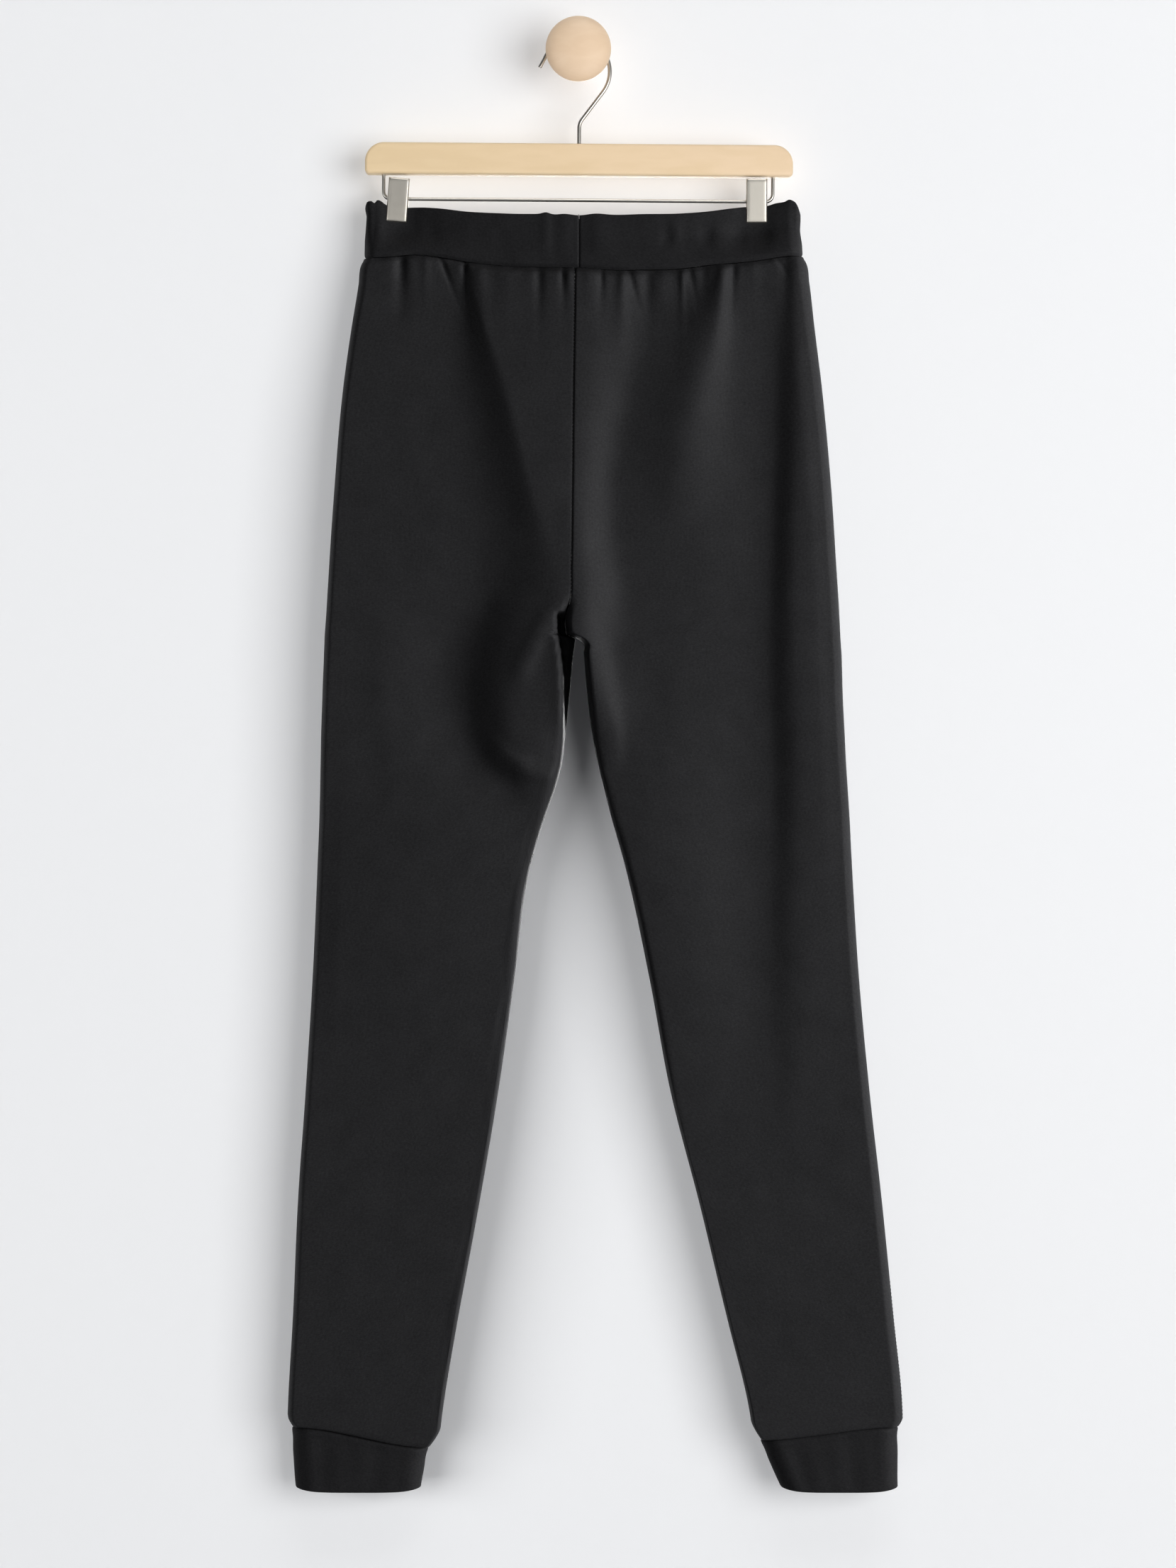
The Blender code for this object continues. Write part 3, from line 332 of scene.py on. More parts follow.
BACK_GATHERS = (
    Gather(-0.1395, 0.004, 0.032, -0.0036, spread=0.05),
    Gather(-0.12, 0.0035, 0.022, 0.0012),
    Gather(-0.1086, 0.0022, 0.022, -0.0026, lean=0.4, shape=1.6),
    Gather(-0.0896, 0.0016, 0.046, -0.0042, lean=0.06, spread=0.16, shape=1.5),
    Gather(-0.078, 0.005, 0.04, 0.0012, lean=0.1),
    Gather(-0.056, 0.008, 0.03, 0.0011),
    Gather(-0.0308, 0.0036, 0.03, -0.0025),
    Gather(-0.012, 0.0017, 0.022, -0.0028, shape=1.5, spread=0.05),
    Gather(-0.007, 0.0024, 0.018, 0.0012),
    Gather(0.008, 0.0045, 0.02, 0.001),
    Gather(0.0184, 0.0018, 0.022, -0.003, lean=-0.02, shape=1.5, spread=0.05),
    Gather(0.035, 0.0034, 0.05, 0.0024, lean=-0.02, spread=0.06),
    Gather(0.04, 0.0018, 0.022, -0.0026, lean=0.25, shape=1.6),
    Gather(0.0545, 0.0046, 0.034, -0.002),
    Gather(0.067, 0.006, 0.026, 0.0009),
    Gather(0.082, 0.002, 0.03, 0.0019),
    Gather(0.0876, 0.0019, 0.018, -0.0022, lean=0.18, shape=1.6),
    Gather(0.0985, 0.004, 0.024, -0.0009),
    Gather(0.1142, 0.0044, 0.06, 0.0026, lean=-0.06, spread=0.05),
    Gather(0.1222, 0.0026, 0.024, -0.0022, lean=-0.04),
    Gather(0.138, 0.005, 0.02, 0.0008),
    Gather(0.156, 0.0017, 0.01, -0.002, lean=0.6, shape=1.5),
    Gather(0.164, 0.0048, 0.05, -0.0022, spread=0.05),
)
FRONT_GATHERS = (
    Gather(-0.134, 0.0046, 0.03, -0.0024, spread=0.05),
    Gather(-0.115, 0.0024, 0.024, -0.0018, lean=0.2, shape=1.6),
    Gather(-0.096, 0.004, 0.04, -0.0028, spread=0.1),
    Gather(-0.076, 0.004, 0.034, 0.0016),
    Gather(-0.056, 0.003, 0.028, -0.0022, lean=0.1),
    Gather(-0.03, 0.005, 0.03, 0.0014),
    Gather(-0.014, 0.002, 0.02, -0.0022, shape=1.6),
    Gather(0.014, 0.0026, 0.024, -0.0022, shape=1.6),
    Gather(0.038, 0.005, 0.04, 0.0018),
    Gather(0.064, 0.0044, 0.04, -0.0028, lean=-0.1, spread=0.1),
    Gather(0.085, 0.004, 0.03, 0.0014),
    Gather(0.106, 0.0026, 0.03, -0.0024, lean=-0.15, shape=1.7),
    Gather(0.128, 0.005, 0.04, 0.0015),
    Gather(0.148, 0.004, 0.026, -0.0022),
)

BACK_FOLDS = (
    Fold(
        "seat shoulder and thigh belly",
        ((-0.09, 0.168), (-0.0829, 0.183), (-0.0734, 0.211), (-0.0605, 0.25), (-0.0482, 0.295),
         (-0.0336, 0.351), (-0.017, 0.4), (-0.01, 0.432), (-0.019, 0.455), (-0.029, 0.476),
         (-0.036, 0.5), (-0.039, 0.524), (-0.038, 0.545), (-0.033, 0.566)),
        (0.006, 0.008, 0.012, 0.017, 0.02, 0.025, 0.037, 0.042, 0.044, 0.044, 0.042, 0.036, 0.028, 0.019),
        (0.122, 0.118, 0.112, 0.098, 0.075, 0.05, 0.034, 0.032, 0.036, 0.044, 0.052, 0.052, 0.042, 0.03),
        (0.0026, 0.0058, 0.009, 0.0114, 0.0126, 0.013, 0.0138, 0.0146, 0.015, 0.015, 0.0144, 0.0126,
         0.0098, 0.0056),
        left_shape=(1.4, 1.4, 1.45, 1.5, 1.5, 1.55, 1.8, 2.0, 2.2, 2.4, 2.6, 2.8, 2.8, 2.6),
        right_shape=(5.0, 5.5, 6.0, 6.0, 6.0, 5.0, 4.0, 3.2, 2.6, 2.6, 2.6, 2.6, 2.4, 2.0),
    ),
    Fold(
        "thigh lip",
        ((-0.017, 0.448), (-0.015, 0.464), (-0.0135, 0.48), (-0.0128, 0.5), (-0.0122, 0.5275),
         (-0.0116, 0.547)),
        (0.005, 0.006, 0.007, 0.0075, 0.007, 0.006),
        (0.003,),
        (0.0, 0.0014, 0.0022, 0.0026, 0.0024, 0.0),
        left_shape=(1.5,),
    ),
    Fold(
        "right thigh ridge",
        ((0.002, 0.431), (0.0075, 0.4575), (0.015, 0.49), (0.021, 0.517), (0.0255, 0.5376), (0.027, 0.556)),
        (0.008, 0.01, 0.012, 0.012, 0.011, 0.008),
        (0.009, 0.009, 0.009, 0.0085, 0.008, 0.007),
        (0.0, 0.0026, 0.0044, 0.0044, 0.0036, 0.0014),
    ),
    Fold(
        "thigh hollow",
        ((-0.06, 0.392), (-0.076, 0.43), (-0.088, 0.47), (-0.093, 0.5), (-0.089, 0.528), (-0.076, 0.552),
         (-0.058, 0.572)),
        (0.03, 0.042, 0.05, 0.05, 0.045, 0.034, 0.024),
        (0.016, 0.02, 0.022, 0.021, 0.018, 0.014, 0.01),
        (0.0, -0.003, -0.0048, -0.0052, -0.005, -0.0042, -0.0016),
    ),
    Fold(
        "upper drag ridge",
        ((-0.014, 0.4335), (-0.025, 0.45), (-0.035, 0.469), (-0.044, 0.49), (-0.048, 0.505)),
        (0.006, 0.006, 0.007, 0.008, 0.009),
        (0.005, 0.005, 0.006, 0.006, 0.007),
        (0.0, 0.0016, 0.002, 0.0014, 0.0),
    ),
    Fold(
        "hip roll",
        ((0.112, 0.172), (0.108, 0.19), (0.104, 0.211), (0.096, 0.245), (0.087, 0.28), (0.08, 0.315),
         (0.074, 0.355), (0.072, 0.395)),
        (0.006, 0.012, 0.02, 0.028, 0.032, 0.032, 0.03, 0.03),
        (0.006, 0.009, 0.012, 0.016, 0.021, 0.027, 0.032, 0.034),
        (0.0014, 0.0042, 0.0066, 0.0078, 0.0082, 0.007, 0.004, 0.0),
        left_shape=(1.5,),
    ),
    Fold(
        "side roll",
        ((0.17, 0.168), (0.174, 0.195), (0.175, 0.24), (0.175, 0.295), (0.1735, 0.351), (0.1715, 0.407),
         (0.171, 0.452), (0.172, 0.497), (0.174, 0.541), (0.174, 0.587), (0.173, 0.631), (0.17, 0.743),
         (0.176, 0.88)),
        (0.008, 0.012, 0.016, 0.018, 0.018, 0.018, 0.019, 0.02, 0.02, 0.02, 0.021, 0.022, 0.022),
        (0.016, 0.02, 0.028, 0.035, 0.035, 0.035, 0.035, 0.035, 0.035, 0.035, 0.035, 0.035, 0.035),
        (0.001, 0.0022, 0.003, 0.0034, 0.0034, 0.0034, 0.0034, 0.0034, 0.0032, 0.003, 0.0026, 0.0018, 0.0),
        left_shape=(1.8,),
    ),
    Fold(
        "side valley",
        ((0.15, 0.18), (0.152, 0.24), (0.152, 0.295), (0.15, 0.351), (0.148, 0.407), (0.147, 0.497),
         (0.149, 0.587), (0.147, 0.743), (0.152, 0.88)),
        (0.02, 0.03, 0.038, 0.04, 0.042, 0.042, 0.04, 0.036, 0.03),
        (0.013, 0.013, 0.013, 0.013, 0.013, 0.014, 0.015, 0.016, 0.016),
        (-0.0014, -0.0034, -0.0044, -0.0044, -0.0042, -0.0042, -0.0038, -0.0026, 0.0),
    ),
    Fold(
        "right calf swell",
        ((0.048, 0.5), (0.056, 0.57), (0.065, 0.635), (0.08, 0.74), (0.095, 0.86)),
        (0.03, 0.036, 0.04, 0.04, 0.04),
        (0.046,),
        (0.0, 0.0036, 0.005, 0.0034, 0.0),
    ),
    Fold(
        "left calf swell",
        ((-0.115, 0.56), (-0.118, 0.62), (-0.123, 0.7), (-0.134, 0.82)),
        (0.075,),
        (0.08, 0.08, 0.074, 0.06),
        (0.0, 0.0048, 0.005, 0.0),
    ),
    Fold(
        "left thigh drag",
        ((-0.152, 0.44), (-0.15, 0.5), (-0.14, 0.56), (-0.134, 0.61)),
        (0.014, 0.016, 0.018, 0.018),
        (0.05,),
        (0.0, 0.0016, 0.0014, 0.0),
    ),
    Fold(
        "knee rim",
        ((-0.085, 0.524), (-0.075, 0.539), (-0.062, 0.554), (-0.045, 0.565), (-0.025, 0.5715)),
        (0.007, 0.008, 0.008, 0.007, 0.006),
        (0.007, 0.007, 0.006, 0.006, 0.005),
        (0.0, 0.0016, 0.003, 0.0038, 0.003),
    ),
)
FRONT_FOLDS = (
    Fold("left rise shoulder", ((-0.096, 0.17), (-0.088, 0.23), (-0.07, 0.32), (-0.045, 0.41)),
         (0.01, 0.018, 0.026, 0.03), (0.02, 0.05, 0.06, 0.05), (0.002, 0.005, 0.006, 0.005)),
    Fold("left thigh drag", ((-0.025, 0.45), (-0.05, 0.48), (-0.064, 0.52), (-0.07, 0.56)),
         (0.012, 0.014, 0.016, 0.016), (0.012, 0.014, 0.016, 0.016), (-0.002, -0.004, -0.0036, -0.001)),
    Fold("left leg ridge", ((-0.14, 0.42), (-0.145, 0.6), (-0.15, 0.8)),
         (0.02,), (0.024,), (0.001, 0.0026, 0.0)),
    Fold("right rise shoulder", ((0.064, 0.17), (0.06, 0.23), (0.052, 0.32), (0.038, 0.405)),
         (0.02, 0.05, 0.06, 0.05), (0.01, 0.018, 0.026, 0.03), (0.002, 0.0046, 0.0056, 0.0046)),
    Fold("right thigh drag", ((0.02, 0.455), (0.042, 0.485), (0.06, 0.53), (0.072, 0.58)),
         (0.012, 0.014, 0.016, 0.016), (0.012, 0.014, 0.016, 0.016), (-0.002, -0.0038, -0.0034, -0.001)),
    Fold("right leg ridge", ((0.135, 0.4), (0.148, 0.6), (0.16, 0.82)),
         (0.02,), (0.024,), (0.001, 0.0026, 0.0)),
)
BAND_FOLDS = (
    ripple("left ripple", ((-0.1180, 0.130), (-0.1160, 0.144), (-0.1170, 0.158)), (0.005, 0.005), -0.0007),
    ripple("left swell", ((-0.0930, 0.134), (-0.0910, 0.147), (-0.0920, 0.162)), (0.008, 0.008), 0.0006),
    ripple("left dimple", ((-0.0620, 0.136), (-0.0600, 0.150), (-0.0610, 0.164)), (0.006, 0.007), -0.0006),
    ripple("centre swell", ((0.0190, 0.134), (0.0200, 0.150), (0.0200, 0.168)), (0.008, 0.008), 0.0006),
    ripple("ripple 1", ((0.0735, 0.138), (0.0700, 0.148), (0.0665, 0.158)), (0.0036, 0.0040), -0.0011),
    ripple("ridge 1", ((0.0785, 0.132), (0.0766, 0.142), (0.0750, 0.154)), (0.0036, 0.0036), 0.0009),
    ripple("ripple 2", ((0.1010, 0.134), (0.1008, 0.146), (0.1000, 0.160)), (0.0045, 0.0045), -0.0010),
    ripple("ridge 2", ((0.1112, 0.134), (0.1109, 0.147), (0.1105, 0.162)), (0.0048, 0.0048), 0.0009),
    ripple("ripple 3", ((0.1262, 0.134), (0.1260, 0.147), (0.1255, 0.162)), (0.0048, 0.0048), -0.0011),
    ripple("right swell", ((0.1560, 0.134), (0.1570, 0.146), (0.1560, 0.158)), (0.006, 0.006), 0.0007),
)


@dataclass(frozen=True)
class LegEnd:
    """What differs from leg to leg: how much lower the hem lies at the inner seam, how far its corners
    slant in and over what height, and the depth of the inner seam's groove."""

    slant: float
    side_corner: Point
    inner_corner: Point
    inner_groove: float


LEG_ENDS = {
    Side.LEFT: LegEnd(0.0160, (0.0040, 0.0080), (0.0070, 0.0130), 0.0002),
    Side.RIGHT: LegEnd(0.0102, (0.0030, 0.0060), (0.0058, 0.0130), 0.0010),
}

# Where a face's inner seam starts to be drawn in to the middle plane, and the power of its onset
INNER_PULL = {Face.BACK: (0.4200, 3), Face.FRONT: (0.3900, 2)}

# The edge of the strip of the left thigh that turns out of sight, as drop and x
HIDDEN_STRIP = (
    (0.443, -0.0157), (0.463, -0.0157), (0.4743, -0.014), (0.494, -0.0118), (0.5275, -0.0112),
    (0.547, -0.0106),
)

# How far the right leg's side seam rolls onto the back above the cuff, as drop and distance
ROLLED_SEAM = ((0.960, 0.0), (1.020, 0.0055), (1.080, 0.0100))


# Meshes of cloth


def unit(vectors: Array) -> Array:
    """The vectors, made one long."""
    return vectors / np.maximum(np.linalg.norm(vectors, axis=-1, keepdims=True), 1e-12)


def inward_normals(points: Array, closed: bool = False, level: bool = False) -> Array:
    """Unit normals of a grid of points on the garment, towards its middle plane.

    Args:
        points: Rows by columns by 3.
        closed: True if the last column meets the first.
        level: True for normals without a part along Z.
    Returns:
        Normals, of the shape of points.
    """
    ring = np.concatenate([points[:, -1:], points, points[:, :1]], axis=1) if closed else points
    normals = unit(np.cross(np.gradient(ring, axis=1), np.gradient(ring, axis=0)))
    if closed:
        normals = normals[:, 1:-1]
    if level:
        normals[..., 2] = 0.0
        normals = unit(normals)
    facing = np.sum(normals[..., 1] * (MIDDLE_Y - points[..., 1]))
    return normals if facing > 0 else -normals


def arc_lengths(points: Array, axis: int) -> Array:
    """Distances along a grid's rows (axis 1) or columns (axis 0), from their start."""
    steps = np.linalg.norm(np.diff(points, axis=axis), axis=-1)
    start = np.zeros_like(np.take(steps, [0], axis=axis))
    return np.concatenate([start, np.cumsum(steps, axis=axis)], axis=axis)


def fold_inset(distance: Array, wall: float) -> Array:
    """How far a doubled strip's face lies in, at a distance from its folded, round edge."""
    r = wall / 2
    return r - np.sqrt(np.clip(r**2 - np.clip(r - distance, 0, r * FOLD_END) ** 2, 0, None))


def evenly_placed(curve: Array, shares: Array, count: int, ladder: Sequence[float]) -> Array:
    """Shares at which columns lie evenly along rows, closer where a row bends and at both ends.

    Args:
        curve: Fine points of each row, rows by samples by 3.
        shares: The share of each sample.
        count: How many columns lie between the two ladders.
        ladder: Distances of the closest columns from each end, from 0 up.
    Returns:
        Shares, rows by columns.
    """
    lengths = arc_lengths(curve, 1)
    turns = np.linalg.norm(np.diff(unit(np.diff(curve, axis=1)), axis=1), axis=-1)
    bends = np.cumsum(np.pad(turns, ((0, 0), (1, 1))), axis=1)
    steps = np.array(ladder)
    placed = []
    for run, bend in zip(lengths, bends):
        measure = run + BEND_WEIGHT * bend
        first, last = np.interp((steps[-1], run[-1] - steps[-1]), run, measure)
        inside = np.interp(np.linspace(first, last, count + 2)[1:-1], measure, run)
        wanted = np.concatenate([steps, inside, run[-1] - steps[::-1]])
        placed.append(np.interp(wanted, run, shares))
    return np.array(placed)


def cloth_wall(name: str, outer: Array, inner: Array, uv: Array, closed: bool = False) -> Mesh:
    """A wall of cloth between two grids, closed along its edges.

    Args:
        name: Name of the mesh.
        outer: The outer surface, rows by columns by 3.
        inner: The inner surface, of the same shape.
        uv: The cloth's own coordinates in metres, rows by columns by 2; a closed wall has a column more.
        closed: True if the last column meets the first.
    Returns:
        A closed mesh with its faces out and a UV map.
    """
    rows, columns = outer.shape[:2]
    spots = columns + 1 if closed else columns
    vertex = np.arange(rows)[:, None] * columns + np.arange(spots)[None, :] % columns
    label = np.arange(rows * spots).reshape(rows, spots)
    ends = () if closed else (0, -1)
    corners, labels = [], []

    def add(ring: Sequence[Array], store: list[Array], turned: bool) -> None:
        """Stores quads, given as a grid or row for each corner, turned over if asked."""
        store.append(np.stack(ring[::-1] if turned else ring, axis=-1).reshape(-1, 4))

    for grid, other, store in ((vertex, vertex + rows * columns, corners), (label, label, labels)):
        for layer in (grid, other):
            add((layer[:-1, :-1], layer[1:, :-1], layer[1:, 1:], layer[:-1, 1:]), store, layer is not grid)
        for row in (0, -1):
            top, low = grid[row], other[row]
            add((top[:-1], top[1:], low[1:], low[:-1]), store, row != 0)
        for col in ends:
            top, low = grid[:, col], other[:, col]
            add((top[:-1], low[:-1], low[1:], top[1:]), store, col != 0)
    points = np.concatenate([outer.reshape(-1, 3), inner.reshape(-1, 3)])
    mesh = bpy.data.meshes.new(name)
    mesh.from_pydata(points.tolist(), [], np.concatenate(corners).tolist())
    cloth_uv = uv.reshape(-1, 2)[np.concatenate(labels).ravel()]
    mesh.uv_layers.new(name=UV_NAME).data.foreach_set("uv", cloth_uv.astype(np.float32).ravel())
    shape = bmesh.new()
    shape.from_mesh(mesh)
    return finished(shape, mesh)


def finished(shape: bmesh.types.BMesh, mesh: Mesh, sharp: float | None = None) -> Mesh:
    """Turns a closed bmesh into a mesh with its faces out, smooth but at edges bent over sharp degrees."""
    bmesh.ops.recalc_face_normals(shape, faces=shape.faces)
    shape.to_mesh(mesh)
    shape.free()
    mesh.shade_smooth()
    if sharp is not None:
        mesh.set_sharp_from_angle(angle=math.radians(sharp))
    return mesh


class Piece:
    """Puts a finished mesh in the scene as a named piece of the object."""

    slots: dict[str, str] = {}

    @classmethod
    def add(cls, name: str, mesh: Mesh, finish: Material, slot: str,
            *nodes: str) -> Thing:
        """Adds one piece.

        Args:
            name: The piece's name.
            mesh: Its mesh, in place.
            finish: Its material.
            slot: The record's material slot.
            nodes: The CAD nodes that it stands for.
        Returns:
            The new object.
        """
        made = bpy.data.objects.new(name, mesh)
        bpy.context.scene.collection.objects.link(made)
        mesh.materials.clear()
        mesh.materials.append(finish)
        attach(made, "root")
        if nodes:
            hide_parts(*nodes)
        cls.slots[made.name] = slot
        log.info("%s: %d vertices", name, len(mesh.vertices))
        return made


@dataclass
class SeamPath:
    """A line of stitches: its points and the way that the cloth faces there."""

    points: Array
    outward: Array


# The pieces of the garment


@dataclass
class LegPanel:
    """A back or a front panel of one leg, from the waist seam to the cuff seam."""

    side: Side
    face: Face
    columns: int
    wall: float = 0.0015
    top: float = 0.1630
    sag_ends: float = 0.3000
    hem: float = 1.0850
    slant_starts: float = 0.9900
    crotch: float = 0.4630
    tuck_height: float = 0.0050
    tuck_depth: float = 0.0018
    corner_power: float = 1.4
    waist_tuck: Point = (0.0017, 0.0022)
    tuck_fade: float = 0.010
    # Folds are full at these distances from the side, inner and waist seams and the hem. At the waist
    # seam they start with the part free_waist.
    free_at: tuple[float, float, float, float] = (0.022, 0.005, 0.010, 0.030)
    free_waist: float = 0.35
    # The hidden strip: how much depth it loses, its edge's width, and the drop and length of each end.
    strip_depth: float = 0.82
    strip_edge: float = 0.0030
    strip_top: Point = (0.4432, 0.005)
    strip_low: Point = (0.556, 0.012)
    side_groove: Point = (0.00056, 0.0008)
    swells: tuple[Swell, ...] = (Swell(0.0004, 0.045, 11), Swell(0.00014, 0.014, 12))
    swell_fade: float = 0.02
    puckers: Swell = Swell(0.00035, 0.0065, 13)
    pucker_reach: float = 0.012
    samples: int = 500
    # Runs of rows: first drop, last drop and spacing. The hem's rows are in heights of its tuck.
    row_runs: tuple[Triple, ...] = (
        (0.1630, 0.1680, 0.0006),
        (0.1680, 0.2230, 0.0014),
        (0.2230, 0.4000, 0.0052),
        (0.4000, 0.4360, 0.0026),
        (0.4360, 0.4800, 0.0012),
        (0.4800, 0.6000, 0.0025),
        (0.6000, 1.0680, 0.0060),
        (1.0680, 1.0780, 0.0020),
    )
    hem_rows: tuple[float, ...] = (1.2, 1.0, 0.8, 0.6, 0.42, 0.27, 0.15, 0.07, 0.02, 0.0)
    ladder: tuple[float, ...] = (0.0, 0.0002, 0.0005, 0.0009, 0.0014, 0.0021, 0.0030, 0.0042)
    paths: dict[str, SeamPath] = field(default_factory=dict)

    @property
    def name(self) -> str:
        """The name of its CAD node."""
        return f"{self.face.value}_{self.side.value}"

    def edges(self, drop: Array) -> tuple[Array, Array]:
        """x of the side seam and of the inner seam at a drop."""
        own = SECTIONS.read(f"{self.side.value}_in", drop)
        both = (SECTIONS.read("left_in", drop) + SECTIONS.read("right_in", drop)) / 2
        inner = np.minimum(own, both) if self.side is Side.LEFT else np.maximum(own, both)
        return SECTIONS.read(f"{self.side.value}_out", drop), inner

    def pull(self, drop: Array) -> Array:
        """How far the inner seam is drawn in to the middle plane: 0 at the hips, 1 below the crotch."""
        start, power = INNER_PULL[self.face]
        return np.clip((drop - start) / (self.crotch - start), 0.0, 1.0) ** power

    def turned_under(self, x: Array, drop: Array) -> Array:
        """How far the left thigh's inner strip turns out of sight: 0 is not at all, 1 is fully."""
        if self.side is Side.RIGHT or self.face is Face.FRONT:
            return np.zeros(np.broadcast(x, drop).shape)
        past = x - broken_line(HIDDEN_STRIP, drop) + self.strip_edge / 2
        (top, onset), (low, end) = self.strip_top, self.strip_low
        return ease(past / self.strip_edge) * ease((drop - top) / onset) * ease((low - drop) / end)

    def relief(self, x: Array, drop: Array) -> Array:
        """The heights of its folds and gathers."""
        back = self.face is Face.BACK
        lift = sum(fold.lift(x, drop) for fold in (BACK_FOLDS if back else FRONT_FOLDS))
        return lift + sum(g.lift(x, drop - self.top) for g in (BACK_GATHERS if back else FRONT_GATHERS))

    def surface(self, share: Array, drop: Array, folded: bool = True) -> Array:
        """The outer surface, before its seams and unevenness.

        Args:
            share: Place across the panel, from the side seam, 0, to the inner seam, 1.
            drop: Drop below the knob's axis.
            folded: False leaves out the folds and gathers.
        Returns:
            Points of the shape of share and drop.
        """
        leg = LEG_ENDS[self.side]
        outer, inner = self.edges(drop)
        tuck = 1 - rounded(self.hem - drop, self.tuck_height)
        at_side, at_inner = (
            width * np.clip(1 - (self.hem - drop) / height, 0.0, 1.0) ** self.corner_power
            for width, height in (leg.side_corner, leg.inner_corner)
        )
        inward = np.sign(inner - outer)
        outer = outer + inward * at_side
        inner = inner - inward * (at_inner + SEAM_GAP / 2)
        x = outer + (inner - outer) * share
        from_side, from_inner = np.abs(x - outer), np.abs(inner - x)
        pull = self.pull(drop)
        across = rounded(from_side, SECTIONS.read(f"{self.side.value}_round", drop))
        across = across * (1 - pull * (1 - rounded(from_inner, SECTIONS.read("round_in", drop))))
        off = (SECTIONS.read(self.face.value, drop) - self.tuck_depth * tuck) * across
        if folded:
            at_side, at_inner, at_waist, at_hem = self.free_at
            free = ease(from_side / at_side) * (1 - pull * (1 - ease(from_inner / at_inner)))
            free = free * ease((drop - self.top) / at_waist + self.free_waist)
            free = free * ease((self.hem - drop) / at_hem)
            depth, width = self.waist_tuck
            off = off + self.relief(x, drop) * free
            off = off - depth * bell(drop - self.top, width) * ease(from_side / self.tuck_fade)
            off = off * (1 - self.strip_depth * self.turned_under(x, drop))
        y = MIDDLE_Y + self.face.away * (SEAM_GAP / 2 + np.maximum(off, 0.0))
        sag = BAND_EDGES.read("seam", x) - self.top
        sag = sag * (1 - ease((drop - self.top) / (self.sag_ends - self.top)))
        slant = leg.slant * ease(share) * ease((drop - self.slant_starts) / (self.hem - self.slant_starts))
        return np.stack([x, y, -(drop + sag + slant + SEAM_GAP / 2)], axis=-1)

    def drops(self) -> Array:
        """The drops of the rows, closest at the waist, the crotch and the hem."""
        runs = [np.arange(start, end - spacing / 2, spacing) for start, end, spacing in self.row_runs]
        return np.concatenate([*runs, [self.hem - up * self.tuck_height for up in self.hem_rows]])

    def seam_depth(self, from_side: Array, from_inner: Array, drop: Array) -> Array:
        """How far the stitched edges sink in, at distances over the cloth from them and at drops."""
        depth, width = self.side_groove
        rolled = self.side is Side.RIGHT and self.face is Face.BACK
        at_side = depth * bell(from_side - (broken_line(ROLLED_SEAM, drop) if rolled else 0.0), width)
        return at_side + LEG_ENDS[self.side].inner_groove * bell(from_inner, width)

    def build(self, finish: Material) -> Thing:
        """Args:
            finish: The cloth's material.
        Returns:
            The new piece.
        """
        drops, fine = self.drops(), crowded(self.samples)
        curve = self.surface(fine[None, :], drops[:, None] + 0 * fine, folded=False)
        shares = evenly_placed(curve, fine, self.columns, self.ladder)
        down = np.repeat(drops[:, None], shares.shape[1], axis=1)
        base = self.surface(shares, down)
        # At the side seam the wall lies in the middle plane; at the inner seam it keeps to its own leg.
        normals = inward_normals(base)
        normals[:, 0, 1] = 0.0
        low, high = (None, 0.0) if self.side is Side.LEFT else (0.0, None)
        normals[:, -1, 0] = normals[:, -1, 0].clip(low, high)
        normals = unit(normals)
        away = self.face.away
        inner = base + self.wall * normals
        limit = MIDDLE_Y + away * SEAM_GAP / 2
        inner[..., 1] = away * np.maximum(away * inner[..., 1], away * limit)
        across, along = arc_lengths(base, 1), arc_lengths(base, 0)
        from_inner = across[:, -1:] - across
        u = across - across[:, -1:] / 2
        uneven = sum(swell.over(u, along) for swell in self.swells)
        uneven = uneven + self.puckers.over(u, along) * np.exp(-along / self.pucker_reach)
        uneven = uneven * (ease(across / self.swell_fade) * ease(from_inner / self.swell_fade))
        outer = base + (self.seam_depth(across, from_inner, down) - uneven)[..., None] * normals
        for grid in (inner, outer):
            grid[0, :, 2], grid[-1, :, 2] = base[0, :, 2], base[-1, :, 2]
        self.paths = {
            "waist": SeamPath(outer[1], -normals[1]),
            "side": SeamPath(outer[:, 0], -normals[:, 0]),
            "inner": SeamPath(outer[:, -1], -normals[:, -1]),
        }
        mesh = cloth_wall(self.name, outer, inner, np.stack([u, along], axis=-1))
        piece = Piece.add(self.name + "_panel", mesh, finish, "knit", self.name)
        return piece


